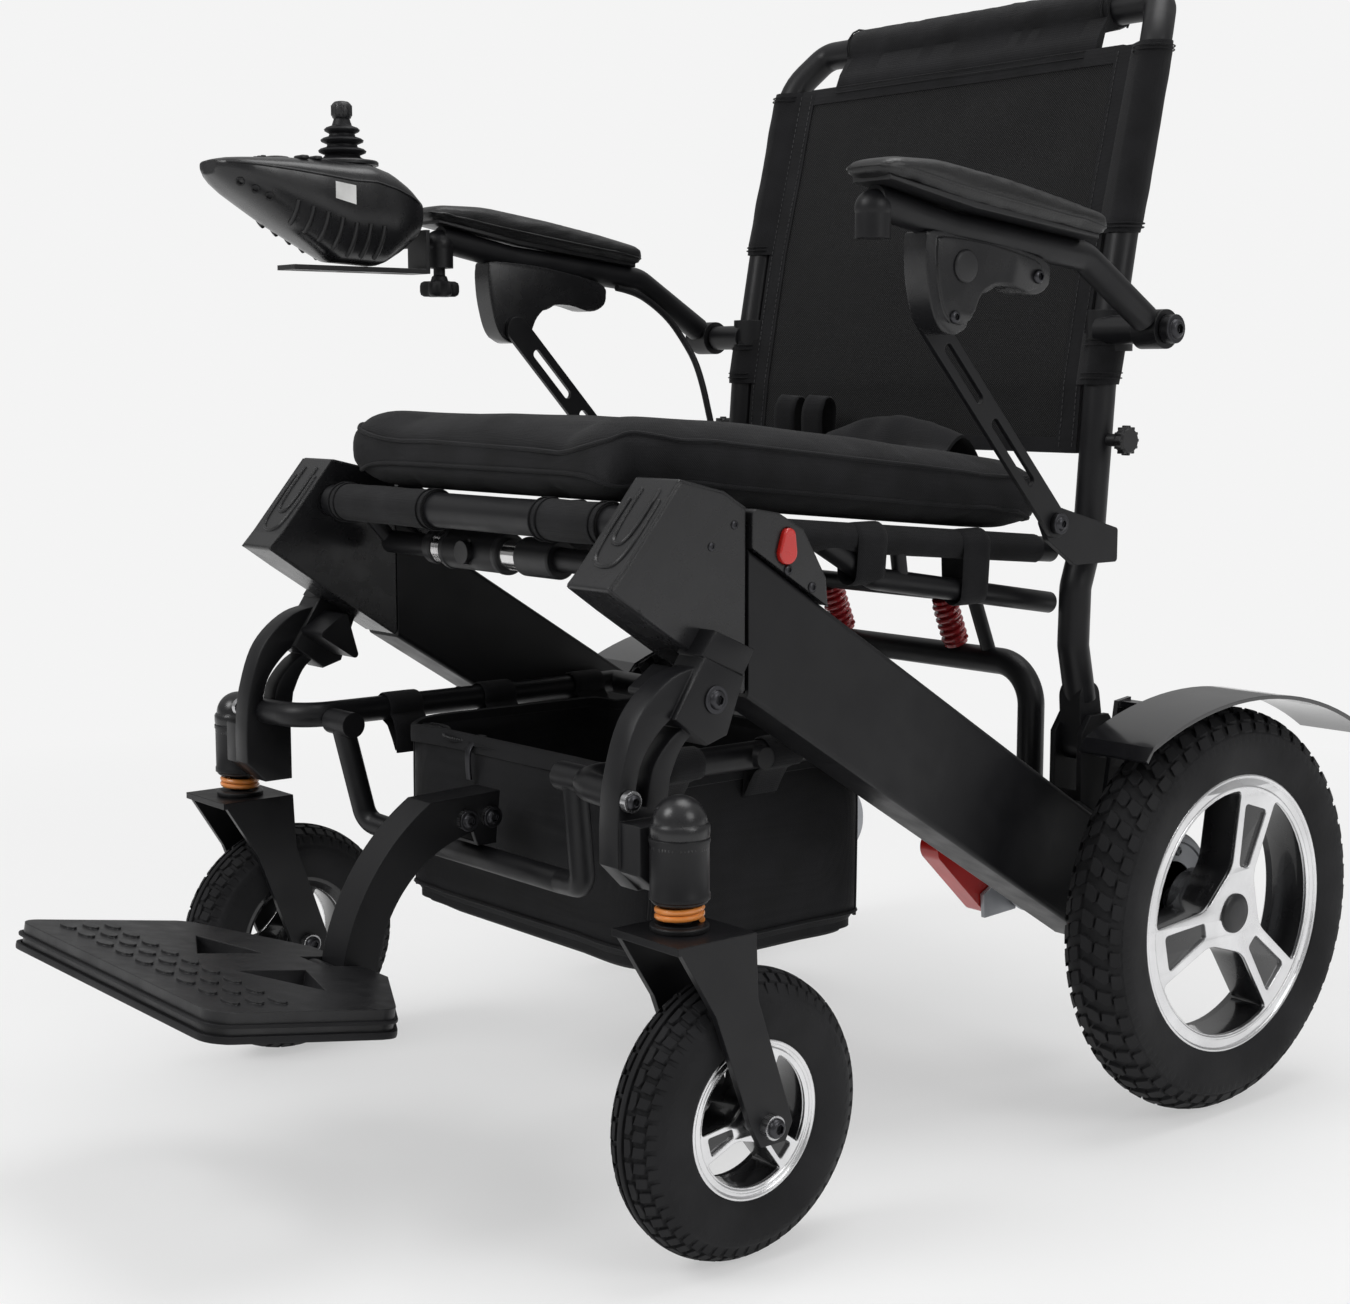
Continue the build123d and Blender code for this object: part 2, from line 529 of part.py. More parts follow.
# ---------------------------------------------------------------- seat
with BuildPart() as seat_frame:
    tube([(-SEAT_X - 8, -490, 474), (SEAT_X + 8, -490, 474)], [], 13)
    for s in (1, -1):
        tube([(s * SEAT_X, -488, 474), (s * SEAT_X, -52, 435.5)], [], RAIL_R)
        tube([(s * SEAT_X, -310, 457), (s * SEAT_X, -250, 424), (s * SEAT_X, -52, 393)], [20], LINK_R)
        tube([(s * SEAT_X, -226, 452), (s * SEAT_X, -220, 416)], [], 6)
        disc(s * SEAT_X - 11, SEAT_PIN_Y, SEAT_PIN_Z - 4, 15, 22)
        disc(s * SEAT_X - 12, SEAT_PIN_Y, SEAT_PIN_Z - 4, SEAT_PIN_R + RUN, 24, mode=Mode.SUBTRACT)
    for y, z in ((-62, 394.5), (-62, 436.4)):
        tube([(-SEAT_X, y, z), (SEAT_X, y, z)], [], TIE_R)
save(seat_frame.part, "seat_frame")

HOOP_Y, HOOP_Z = -38.0, 338.0
with BuildPart() as rear_hoop:
    tube([(150, HOOP_Y, 236), (150, HOOP_Y, HOOP_Z), (-150, HOOP_Y, HOOP_Z), (-150, HOOP_Y, 236)],
         [34, 34], 11)
    for s in (1, -1):
        tube([(s * 104, HOOP_Y + 2, HOOP_Z), (s * 104, -60, 394)], [], 6)
    tube([(-SEAT_X, -62, 394.5), (SEAT_X, -62, 394.5)], [], TIE_R, mode=Mode.SUBTRACT)
save(rear_hoop.part, "rear_hoop")

with BuildPart() as seat_springs:
    for s in (1, -1):
        shock = Plane(origin=at(s * 68, -40, 348), z_dir=(0, -0.42, 1))
        with BuildSketch(shock) as rod:
            Circle(5)
        extrude(rod.sketch, amount=44)
        for turn in range(6):
            with BuildSketch(shock.offset(5 + turn * 6.5)) as coil:
                Circle(11)
            extrude(coil.sketch, amount=2.4)
    tube([(-SEAT_X, -62, 394.5), (SEAT_X, -62, 394.5)], [], TIE_R, mode=Mode.SUBTRACT)
    tube([(140, HOOP_Y, HOOP_Z), (-140, HOOP_Y, HOOP_Z)], [], 11, mode=Mode.SUBTRACT)
save(seat_springs.part, "seat_springs")

CUSHION_X = 187.0
with BuildPart() as cushion:
    plate([(-482, 492), (-486, 520), (-462, 544), (-300, 531), (-66, 503), (-56, 492), (-56, 450)],
          -CUSHION_X, 2 * CUSHION_X)
    fillet(cushion.edges().filter_by(Axis.Z).sort_by(Axis.Y)[:2], 20)
save(cushion.part, "cushion")

# lock bar: a telescoping cross brace with a push button in its housing
LOCK_Y, LOCK_Z = -450.0, 441.0
LOCK_BUTTON_R = 9.0
with BuildPart() as lock_bar:
    disc(-SEAT_X + 10, LOCK_Y, LOCK_Z, 9, 2 * SEAT_X - 20)
    disc(-78, LOCK_Y, LOCK_Z, 15, 76)
    fillet(lock_bar.edges().filter_by(GeomType.CIRCLE).group_by(SortBy.RADIUS)[-1], 5)
    for s in (1, -1):
        tube([(s * (SEAT_X - 12), LOCK_Y, LOCK_Z), (s * (SEAT_X - 12), LOCK_Y - 20, LOCK_Z + 22)], [], 6)
    tube([(-SEAT_X - 8, -490, 474), (SEAT_X + 8, -490, 474)], [], 13.2, mode=Mode.SUBTRACT)
    # pocket for the button, open at the front of the housing
    with BuildSketch(Plane(origin=at(-40, LOCK_Y - 10.6, LOCK_Z), x_dir=(1, 0, 0), z_dir=(0, -1, 0))) as pocket:
        Circle(LOCK_BUTTON_R + 0.4)
    extrude(pocket.sketch, amount=10, mode=Mode.SUBTRACT)
save(lock_bar.part, "lock_bar")

# button that frees the lock bar, 3.5 mm of travel into its pocket
with BuildPart() as lock_button:
    with BuildSketch(Plane(origin=at(-40, LOCK_Y - 14.3, LOCK_Z), x_dir=(1, 0, 0), z_dir=(0, -1, 0))) as face:
        Circle(LOCK_BUTTON_R)
    extrude(face.sketch, amount=5)
save(lock_button.part, "lock_button")

# ---------------------------------------------------------------- footrest
FOOT_ANGLE = 9.8  # the plate rises towards the front
PLATE_Y, PLATE_Z, PLATE_T = -596.0, 136.0, 20.0
with BuildPart() as footrest_arm:
    with BuildSketch(side(-ARM_HALF)) as outline:
        with BuildLine():
            Line((-474, 268), (-535, 266))
            ThreePointArc((-535, 266), (-586, 216), (-612, 146))
            Line((-612, 146), (-608, 112))
            Line((-608, 112), (-578, 112))
            ThreePointArc((-578, 112), (-560, 203), (-498, 240))
            Line((-498, 240), (-494, 229))
            Line((-494, 229), (-478, 229))
            Line((-478, 229), (-474, 268))
        make_face()
    extrude(outline.sketch, amount=2 * ARM_HALF)
    # open channel: two cheeks and a front web
    plate([(-480, 261), (-530, 259), (-565, 228), (-590, 190), (-604, 140), (-604, 106),
           (-572, 106), (-555, 200), (-494, 232)], -ARM_HALF + 4, 2 * ARM_HALF - 8, mode=Mode.SUBTRACT)
    disc(-ARM_HALF, FOOT_PIN_Y, FOOT_PIN_Z, 9, 2 * ARM_HALF)  # lug for the footplate's hinge pin
    for y, z in FOOT_BOLTS + [(FOOT_PIN_Y, FOOT_PIN_Z)]:
        disc(-ARM_HALF - 1, y, z, FOOT_PIN_R, 2 * ARM_HALF + 2, mode=Mode.SUBTRACT)
save(footrest_arm.part, "footrest_arm")

tilt = Plane(origin=at(0, PLATE_Y, PLATE_Z), x_dir=(1, 0, 0),
             z_dir=(0, sin(radians(FOOT_ANGLE)), cos(radians(FOOT_ANGLE))))
FOOT_X, FOOT_FRONT, FOOT_SIDE = 148.0, -190.0, -58.0
with BuildPart() as footplate:
    with BuildSketch(tilt) as outline:
        with BuildLine():
            Polyline((-FOOT_X, FOOT_FRONT), (FOOT_X, FOOT_FRONT), (FOOT_X, FOOT_SIDE), (52, -4),
                     (-52, -4), (-FOOT_X, FOOT_SIDE), close=True)
        make_face()
        fillet(outline.vertices().filter_by(lambda corner: abs(corner.X) > FOOT_X - 1), 16)
    extrude(outline.sketch, amount=PLATE_T)
    # notch for the arm and three-cornered windows
    with BuildSketch(tilt) as windows:
        with Locations((0, -4)):
            Rectangle(2 * ARM_HALF + 3, 62)
        for s in (1, -1):
            with BuildLine():
                Polyline((s * 28, -56), (s * 28, -110), (s * 92, -78), close=True)
            make_face()
    extrude(windows.sketch, amount=PLATE_T, mode=Mode.SUBTRACT)
    # raised oval grips
    with BuildSketch(tilt.offset(PLATE_T)) as grips:
        with GridLocations(30, 17, 9, 3):
            with Locations((0, -147)):
                Ellipse(9, 5)
    extrude(grips.sketch, amount=1.6)
    disc(-41, FOOT_PIN_Y, FOOT_PIN_Z, FOOT_PIN_R + RUN, 82, mode=Mode.SUBTRACT)
save(footplate.part, "footplate")

# ---------------------------------------------------------------- brake release lever
LEVER_X, LEVER_W = 97.0, 20.0
with BuildPart() as release_lever:
    with BuildSketch(side(LEVER_X)) as handle:
        with Locations((LEVER_Y, LEVER_Z)):
            Circle(10)
        with Locations((LEVER_Y - 50, LEVER_Z + 52)):
            Circle(13)
        make_hull()
    extrude(handle.sketch, amount=LEVER_W)
    disc(LEVER_X - 1, LEVER_Y, LEVER_Z, LEVER_PIN_R + RUN, LEVER_W + 2, mode=Mode.SUBTRACT)
save(release_lever.part, "release_lever")

# ---------------------------------------------------------------- controller on the right armrest
WELL_Z, POWER_Y, POWER_R = 731.0, -506.0, 7.0
with BuildPart() as controller_body:
    half_widths = [(-566, 738, 735, 10), (-546, 741, 716, 30), (-510, 744, 692, 38), (-460, 744, 664, 43),
                   (-420, 738, 662, 44), (-392, 716, 682, 38)]
    for y, top, low, half in half_widths:
        with BuildSketch(Plane(origin=at(STICK_X, y, (top + low) / 2), x_dir=(1, 0, 0),
                               z_dir=(0, 1, 0))) as ring:
            RectangleRounded(2 * half, top - low, min((top - low) * 0.45, 16) if top - low > 6 else 1.3)
    loft(ruled=True)
    post(STICK_X, STICK_Y, WELL_Z, 24, 20, mode=Mode.SUBTRACT)
    post(STICK_X, POWER_Y, 736, POWER_R + 0.4, 20, mode=Mode.SUBTRACT)
save(controller_body.part, "controller_body")

# Joystick: a gimbal ring tilts fore and aft and carries the boot and stick, which tilt sideways.
STICK_PIVOT_Z = 742.0
with BuildPart() as joystick_gimbal:
    post(STICK_X, STICK_Y, WELL_Z + 4.5, 10, 3, hole=7)
save(joystick_gimbal.part, "joystick_gimbal")

with BuildPart() as joystick_boot:
    with BuildSketch(Plane(origin=at(STICK_X, STICK_Y, 0), x_dir=(1, 0, 0), z_dir=(0, -1, 0))) as bellows:
        with BuildLine():
            Polyline((0, STICK_PIVOT_Z + 2), (18, STICK_PIVOT_Z + 4), (22, 751), (17, 754), (18, 758),
                     (13, 761), (14.5, 765), (10, 768), (11, 772), (6.6, 775), (6.6, 779), (0, 779),
                     close=True)
        make_face()
    revolve(bellows.sketch, axis=Axis(at(STICK_X, STICK_Y, 0), (0, 0, 1)))
    post(STICK_X, STICK_Y, 761, 4, 20, mode=Mode.SUBTRACT)
save(joystick_boot.part, "joystick_boot")

with BuildPart() as joystick:
    post(STICK_X, STICK_Y, 761, 4, 20)
    with BuildSketch(level(STICK_X, STICK_Y, 779)) as foot:
        Circle(6.5)
    with BuildSketch(level(STICK_X, STICK_Y, 793)) as head:
        Circle(9)
    loft([foot.sketch, head.sketch])
    fillet(joystick.edges().group_by(Axis.Z)[-1], 3)
save(joystick.part, "joystick")

with BuildPart() as power_button:
    post(STICK_X, POWER_Y, 739.5, POWER_R, 6)
save(power_button.part, "power_button")

# Sliding bar and upright plate that carry the controller, and the hand knob that clamps them.
MOUNT_Z, SLIDE_TRAVEL = 657.0, 30.0
with BuildPart() as controller_mount:
    block((STICK_X - 14, -500, MOUNT_Z), (STICK_X + 14, -372, MOUNT_Z + 4))
    with BuildSketch(level(STICK_X, -440, MOUNT_Z)) as slots:
        with GridLocations(0, 42, 1, 3):
            SlotOverall(26, 7, rotation=90)
    extrude(slots.sketch, amount=4, mode=Mode.SUBTRACT)
    block((STICK_X - 14, -376, MOUNT_Z), (STICK_X + 14, -372, MOUNT_Z + 36))
    block((-ARM_X - 6, -376, MOUNT_Z + 22), (STICK_X - 13, -372, MOUNT_Z + 50))
    block((-ARM_X - 5, -373, MOUNT_Z + 26), (-ARM_X + 5, -352.6, MOUNT_Z + 36))
save(controller_mount.part, "controller_mount")

with BuildPart() as mount_knob:
    post(-ARM_X, SOCKET_Y, 640, 5, 38)
    with BuildSketch(level(-ARM_X, SOCKET_Y, 640)) as grip:
        with PolarLocations(11, 4):
            Circle(6)
        make_hull()
    extrude(grip.sketch, amount=13)
save(mount_knob.part, "mount_knob")

# Controller lead: out under the arm tube, through its clip and down behind the cushion.
CABLE = [
    (-ARM_X + 9, -152, 652), (-ARM_X + 8, -130, 649), (-ARM_X + 8, -108, 638), (-ARM_X + 9, -89, 624),
    (-ARM_X + 15, -78, 606), (-ARM_X + 26, -73, 587), (-ARM_X + 36, -72, 564), (-ARM_X + 42, -70, 539),
    (-ARM_X + 46, -66, 513), (-ARM_X + 49, -61, 488),
]


def soft_radii(points):
    """The largest tangent arc at each corner: 0.45 of the shorter run over tan(half the turn)."""
    radii = []
    for a, b, c in zip(points, points[1:], points[2:]):
        before, after = Vector(*b) - Vector(*a), Vector(*c) - Vector(*b)
        turn = radians(before.get_angle(after))
        radii.append(0.45 * min(before.length, after.length) / tan(turn / 2))
    return radii


with BuildPart() as controller_cable:
    tube(CABLE, soft_radii(CABLE), CABLE_R)
save(controller_cable.part, "controller_cable")
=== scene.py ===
"""Folding power wheelchair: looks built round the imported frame. Metres, in the frame's own axes."""
import bmesh
import bpy
import json
from math import atan2, cos, pi, radians, sin, tan
from mathutils import Matrix, Vector, noise
from mathutils.bvhtree import BVHTree


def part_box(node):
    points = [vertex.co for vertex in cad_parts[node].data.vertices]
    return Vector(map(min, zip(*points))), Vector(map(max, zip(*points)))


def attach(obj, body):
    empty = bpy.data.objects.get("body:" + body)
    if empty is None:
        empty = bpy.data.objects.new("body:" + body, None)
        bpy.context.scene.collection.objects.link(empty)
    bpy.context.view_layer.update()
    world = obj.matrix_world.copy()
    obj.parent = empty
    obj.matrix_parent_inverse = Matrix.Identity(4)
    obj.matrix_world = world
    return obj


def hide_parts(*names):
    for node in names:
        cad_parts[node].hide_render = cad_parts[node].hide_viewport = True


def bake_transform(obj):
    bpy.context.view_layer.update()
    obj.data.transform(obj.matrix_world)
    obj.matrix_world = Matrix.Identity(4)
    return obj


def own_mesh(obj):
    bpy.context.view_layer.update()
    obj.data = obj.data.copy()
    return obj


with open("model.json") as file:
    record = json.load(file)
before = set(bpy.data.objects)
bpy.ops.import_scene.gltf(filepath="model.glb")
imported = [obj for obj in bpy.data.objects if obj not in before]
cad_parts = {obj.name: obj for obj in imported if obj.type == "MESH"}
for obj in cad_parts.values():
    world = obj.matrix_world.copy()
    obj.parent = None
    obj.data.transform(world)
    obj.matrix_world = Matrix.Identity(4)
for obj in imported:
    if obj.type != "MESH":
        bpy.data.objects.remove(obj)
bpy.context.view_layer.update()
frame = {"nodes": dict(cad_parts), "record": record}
NODES = frame["nodes"]
MM = 0.001

# The rear axle's place gives the Y of every detail. Points are in millimetres from the floor under its middle.
AXLE = sum(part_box("rear_tyre_left"), Vector()) / 2


def at(x, y, z):
    """A point in millimetres from the floor under the middle of the rear axle, in the frame's metres."""
    return Vector((x * MM, AXLE.y + y * MM, z * MM))


def from_frame(place):
    """The other way: a point of the frame in millimetres from under the middle of the rear axle."""
    return Vector((place.x / MM, (place.y - AXLE.y) / MM, place.z / MM))


# ---------------------------------------------------------------- camera and light
scene = bpy.context.scene
CAMERA_PLACE = Vector((1.3014, AXLE.y - 1.3714, 0.5730))
AZIMUTH, ELEVATION = radians(50.35), radians(7.35)
camera = bpy.data.objects.new("camera", bpy.data.cameras.new("camera"))
scene.collection.objects.link(camera)
camera.data.lens, camera.data.sensor_width = 57.16, 36.0
camera.data.clip_end = 60
camera.location = CAMERA_PLACE
back = Vector((sin(AZIMUTH) * cos(ELEVATION), -cos(AZIMUTH) * cos(ELEVATION), sin(ELEVATION)))
camera.rotation_mode = "QUATERNION"
camera.rotation_quaternion = (-back).to_track_quat("-Z", "Y")
scene.camera = camera

scene.view_settings.view_transform = "Standard"
BACKDROP = (0.905, 0.905, 0.905, 1)
world = bpy.data.worlds.new("studio")
scene.world = world
world.use_nodes = True
world.node_tree.nodes["Background"].inputs["Color"].default_value = BACKDROP
world.node_tree.nodes["Background"].inputs["Strength"].default_value = 1.0
# The backdrop is seen at its own brightness and lights the chair more softly.
AMBIENT = (0.22, 0.78)  # at the horizon and overhead
sky = world.node_tree
rays = sky.nodes.new("ShaderNodeLightPath")
level = sky.nodes.new("ShaderNodeMapRange")
level.inputs["To Max"].default_value = 1.0
facing = sky.nodes.new("ShaderNodeTexCoord")
upward = sky.nodes.new("ShaderNodeSeparateXYZ")
dome = sky.nodes.new("ShaderNodeMapRange")
dome.inputs["To Min"].default_value, dome.inputs["To Max"].default_value = AMBIENT
sky.links.new(facing.outputs["Generated"], upward.inputs["Vector"])
sky.links.new(upward.outputs["Z"], dome.inputs["Value"])
sky.links.new(dome.outputs["Result"], level.inputs["To Min"])
sky.links.new(rays.outputs["Is Camera Ray"], level.inputs["Value"])
sky.links.new(level.outputs["Result"], world.node_tree.nodes["Background"].inputs["Strength"])


def area_light(name, place, aim, size, power):
    light = bpy.data.objects.new(name, bpy.data.lights.new(name, "AREA"))
    scene.collection.objects.link(light)
    light.data.shape, light.data.size, light.data.energy = "DISK", size, power
    light.location = place
    light.rotation_euler = (Vector(aim) - Vector(place)).to_track_quat("-Z", "Y").to_euler()


area_light("key", (-0.6, -2.6, 2.6), (0, 0, 0.4), 1.6, 44)
area_light("side", (2.8, 0.4, 1.9), (0, 0, 0.4), 1.4, 20)
area_light("top", (0.2, 0.6, 3.2), (0, 0, 0.3), 2.0, 34)


# ---------------------------------------------------------------- materials
class Shader:
    """A material's node tree with short calls for the nodes used here."""

    def __init__(self, name, colour, rough, metallic=0.0, **sockets):
        self.made = bpy.data.materials.new(name)
        self.made.use_nodes = True
        self.made.diffuse_color = (*colour, 1)
        self.tree = self.made.node_tree
        self.bsdf = self.tree.nodes["Principled BSDF"]
        self.bsdf.inputs["Base Color"].default_value = (*colour, 1)
        self.bsdf.inputs["Roughness"].default_value = rough
        self.bsdf.inputs["Metallic"].default_value = metallic
        for socket, value in sockets.items():
            self.bsdf.inputs[socket.replace("_", " ")].default_value = value
        self.place = self.node("ShaderNodeTexCoord").outputs["Object"]
        self.height = None

    def node(self, kind, **settings):
        made = self.tree.nodes.new(kind)
        for key, value in settings.items():
            setattr(made, key, value)
        return made

    def link(self, output, target):
        self.tree.links.new(output, target)

    def noise(self, scale, detail=3.0, stretch=None, roughness=0.5):
        made = self.node("ShaderNodeTexNoise")
        made.inputs["Scale"].default_value = scale
        made.inputs["Detail"].default_value = detail
        made.inputs["Roughness"].default_value = roughness
        source = self.place
        if stretch:
            mapping = self.node("ShaderNodeMapping")
            mapping.inputs["Scale"].default_value = stretch
            self.link(self.place, mapping.inputs["Vector"])
            source = mapping.outputs["Vector"]
        self.link(source, made.inputs["Vector"])
        return made.outputs["Fac"]

    def cells(self, scale, feature="F1"):
        made = self.node("ShaderNodeTexVoronoi", feature=feature)
        made.inputs["Scale"].default_value = scale
        self.link(self.place, made.inputs["Vector"])
        return made.outputs["Distance"]

    def wave(self, scale, direction, profile="SIN"):
        made = self.node("ShaderNodeTexWave", bands_direction=direction, wave_profile=profile)
        made.inputs["Scale"].default_value = scale
        self.link(self.place, made.inputs["Vector"])
        return made.outputs["Fac"]

    def math(self, kind, a, b=None):
        made = self.node("ShaderNodeMath", operation=kind)
        for socket, value in zip(made.inputs, (a, b)):
            if hasattr(value, "links"):
                self.link(value, socket)
            elif value is not None:
                socket.default_value = value
        return made.outputs[0]

    def span(self, factor, low, high, start=0.0, end=1.0):
        made = self.node("ShaderNodeMapRange")
        for socket, value in zip(("From Min", "From Max", "To Min", "To Max"), (start, end, low, high)):
            made.inputs[socket].default_value = value
        self.link(factor, made.inputs["Value"])
        return made.outputs["Result"]

    def colours(self, factor, low, high, start=0.3, end=0.7):
        made = self.node("ShaderNodeValToRGB")
        made.color_ramp.elements[0].position, made.color_ramp.elements[1].position = start, end
        made.color_ramp.elements[0].color, made.color_ramp.elements[1].color = (*low, 1), (*high, 1)
        self.link(factor, made.inputs["Fac"])
        self.link(made.outputs["Color"], self.bsdf.inputs["Base Color"])
        return made

    def rough(self, factor, low, high):
        self.link(self.span(factor, low, high, 0.3, 0.7), self.bsdf.inputs["Roughness"])

    def bump(self, height, distance, strength=1.0, bevel=0.0):
        made = self.node("ShaderNodeBump")
        made.inputs["Distance"].default_value = distance
        made.inputs["Strength"].default_value = strength
        self.link(height, made.inputs["Height"])
        if bevel:
            edge = self.node("ShaderNodeBevel")
            edge.samples = 4
            edge.inputs["Radius"].default_value = bevel
            self.link(edge.outputs["Normal"], made.inputs["Normal"])
        self.link(made.outputs["Normal"], self.bsdf.inputs["Normal"])


def powder_coat(name, colour, rough, bevel=0.0012):
    s = Shader(name, colour, rough, Specular_IOR_Level=0.3)
    s.colours(s.noise(9, 2), [c * 0.85 for c in colour], [c * 1.2 for c in colour])
    s.rough(s.noise(40, 4), rough * 0.85, rough * 1.2)
    s.bump(s.noise(1400, 2), 0.00008, 0.6, bevel)
    return s.made


def moulded(name, colour, rough, grain=900, depth=0.00012, bevel=0.0012):
    s = Shader(name, colour, rough, Specular_IOR_Level=0.5)
    s.colours(s.noise(14, 3), [c * 0.8 for c in colour], [c * 1.25 for c in colour])
    s.rough(s.noise(60, 3), rough * 0.85, rough * 1.15)
    s.bump(s.cells(grain), depth, 0.5, bevel)
    return s.made


def glossy(name, colour, rough, bevel=0.001):
    s = Shader(name, colour, rough, Coat_Weight=0.6, Coat_Roughness=0.06)
    s.colours(s.noise(20, 2), [c * 0.85 for c in colour], [c * 1.1 for c in colour])
    s.rough(s.noise(30, 4), rough * 0.8, rough * 1.3)
    s.bump(s.noise(90, 2), 0.00005, 0.3, bevel)
    return s.made


def bare_metal(name, colour, rough, stretch=(1, 60, 60), bevel=0.0008):
    s = Shader(name, colour, rough, metallic=1.0)
    s.colours(s.noise(30, 4), [c * 0.85 for c in colour], colour)
    s.rough(s.noise(14, 5, stretch), rough * 0.7, rough * 1.4)
    s.bump(s.noise(20, 3, stretch), 0.00004, 0.5, bevel)
    return s.made


def rubbery(name, colour, rough, depth=0.0002, bevel=0.001):
    s = Shader(name, colour, rough, Specular_IOR_Level=0.25)
    s.colours(s.noise(25, 5), [c * 0.75 for c in colour], [c * 1.4 for c in colour])
    s.rough(s.noise(18, 4), rough * 0.85, min(1, rough * 1.15))
    s.bump(s.noise(260, 5), depth, 0.5, bevel)
    return s.made


def leather(name, colour, rough):
    """Black grained cover with long shallow creases along the pad."""
    s = Shader(name, colour, rough, Specular_IOR_Level=0.5)
    creases = s.noise(16, 5, (3.2, 0.7, 3.2), 0.6)
    # The colour follows the crease height: painted shade in the crease hollows and painted light on the ridges.
    s.colours(creases, [c * 0.7 for c in colour], [c * 1.5 for c in colour])
    s.rough(creases, rough * 0.75, rough * 1.25)
    grain = s.math("ADD", s.math("MULTIPLY", s.cells(620), 0.35), s.math("MULTIPLY", creases, 1.6))
    s.bump(grain, 0.0006, 0.7)
    return s.made


def woven(name, colour, rough, thread, depth=0.00025, sheen=0.25, fibre=0.5):
    """Plain weave: two sets of crossing threads with loose fibres."""
    s = Shader(name, colour, rough, Sheen_Weight=sheen * 0.3, Sheen_Roughness=0.5, Specular_IOR_Level=0.2)
    threads = s.math("MAXIMUM", s.math("MULTIPLY", s.wave(thread, "X"), s.wave(thread, "DIAGONAL")),
                     s.math("MULTIPLY", s.wave(thread, "Y"), s.wave(thread, "Z")))
    fibres = s.noise(520, 4)
    s.colours(s.noise(34, 6), [c * 0.65 for c in colour], [c * 1.5 for c in colour])
    s.bump(s.math("ADD", threads, s.math("MULTIPLY", fibres, fibre)), depth, 0.8)
    return s.made


def mesh_cloth(name, colour, pitch):
    """Spacer mesh: rows of small round holes in a knitted face."""
    s = Shader(name, colour, 0.85, Sheen_Weight=0.08, Specular_IOR_Level=0.2)
    turned = s.node("ShaderNodeMapping")
    turned.inputs["Rotation"].default_value = (0, radians(45), 0)
    s.link(s.place, turned.inputs["Vector"])
    s.place = turned.outputs["Vector"]
    holes = s.math("MULTIPLY", s.wave(pitch, "X"), s.wave(pitch, "Z"))
    # The holes are painted darker than the raised knit between them: painted shade in the holes.
    s.colours(holes, [c * 0.25 for c in colour], [c * 1.6 for c in colour], 0.25, 0.55)
    s.bump(s.math("ADD", holes, s.math("MULTIPLY", s.noise(600, 3), 0.3)), 0.0007, 1.0)
    return s.made


MATERIALS = {
    "frame_paint": powder_coat("frame_paint", (0.006, 0.006, 0.007), 0.4),
    "moulded_black": moulded("moulded_black", (0.008, 0.008, 0.009), 0.42),
    "gloss_black": glossy("gloss_black", (0.006, 0.006, 0.007), 0.18),
    "rubber": rubbery("rubber", (0.007, 0.007, 0.008), 0.55),
    "arm_leather": leather("arm_leather", (0.006, 0.006, 0.0065), 0.42),
    "red_plastic": glossy("red_plastic", (0.52, 0.012, 0.008), 0.3),
    "red_spring": glossy("red_spring", (0.30, 0.008, 0.012), 0.3),
    "orange_spring": glossy("orange_spring", (0.80, 0.27, 0.05), 0.25),
    "steel": bare_metal("steel", (0.55, 0.55, 0.56), 0.28),
    "rim_alloy": bare_metal("rim_alloy", (0.86, 0.86, 0.87), 0.22, (1, 1, 1)),
    "tyre_rubber": rubbery("tyre_rubber", (0.009, 0.009, 0.010), 0.68, 0.0003),
    "motor_alloy": bare_metal("motor_alloy", (0.40, 0.41, 0.43), 0.45, (1, 1, 1)),
    "seat_fabric": woven("seat_fabric", (0.006, 0.006, 0.007), 0.85, 340),
    "bag_fabric": woven("bag_fabric", (0.004, 0.004, 0.005), 0.6, 420, 0.0002, 0.1),
    "mesh": mesh_cloth("mesh", (0.009, 0.009, 0.010), 190),
    "rim_black": glossy("rim_black", (0.01, 0.01, 0.011), 0.25),
    "bolt_black": bare_metal("bolt_black", (0.06, 0.06, 0.065), 0.35, (1, 1, 1)),
    "satin_black": moulded("satin_black", (0.011, 0.011, 0.012), 0.27, 1200, 0.00005, 0.002),
    "label": rubbery("label", (0.62, 0.62, 0.61), 0.5),
    "thread": rubbery("thread", (0.05, 0.05, 0.052), 0.6),
    "chrome": bare_metal("chrome", (0.75, 0.74, 0.74), 0.12, (1, 40, 40)),
}
SLOT_OF = {entry["node"]: entry["material_slot"] for entry in frame["record"]["subparts"]}
for node, thing in NODES.items():
    thing.data.materials.clear()
    thing.data.materials.append(MATERIALS[SLOT_OF[node]])
    for polygon in thing.data.polygons:
        polygon.material_index = 0


# ---------------------------------------------------------------- mesh making
def turns(count, phase=0.0):
    return [phase + 2 * pi * k / count for k in range(count)]


def path_frames(points, loop=False, up=None):
    """Each point of a path with two directions square to it, which turn as little as they can."""
    made, side = [], None
    for i, point in enumerate(points):
        before = points[i - 1] if i or loop else point
        after = points[(i + 1) % len(points)] if i < len(points) - 1 or loop else point
        along = (after - before).normalized()
        side = Vector(up) if up else side or along.orthogonal()
        side = (side - along * side.dot(along)).normalized()
        made.append((point, side, along.cross(side)))
    return made


def flowing(points, steps=8, loop=False):
    """A smooth line through the points."""
    points = [Vector(p) for p in points]
    count, made = len(points), []
    for i in range(count if loop else count - 1):
        b, c = points[i], points[(i + 1) % count]
        a = points[i - 1] if i or loop else b
        d = points[(i + 2) % count] if i < count - 2 or loop else c
        for k in range(steps):
            t = k / steps
            made.append(0.5 * (2 * b + (c - a) * t + (2 * a - 5 * b + 4 * c - d) * t * t
                               + (3 * b - a - 3 * c + d) * t ** 3))
    return made if loop else made + [points[-1]]


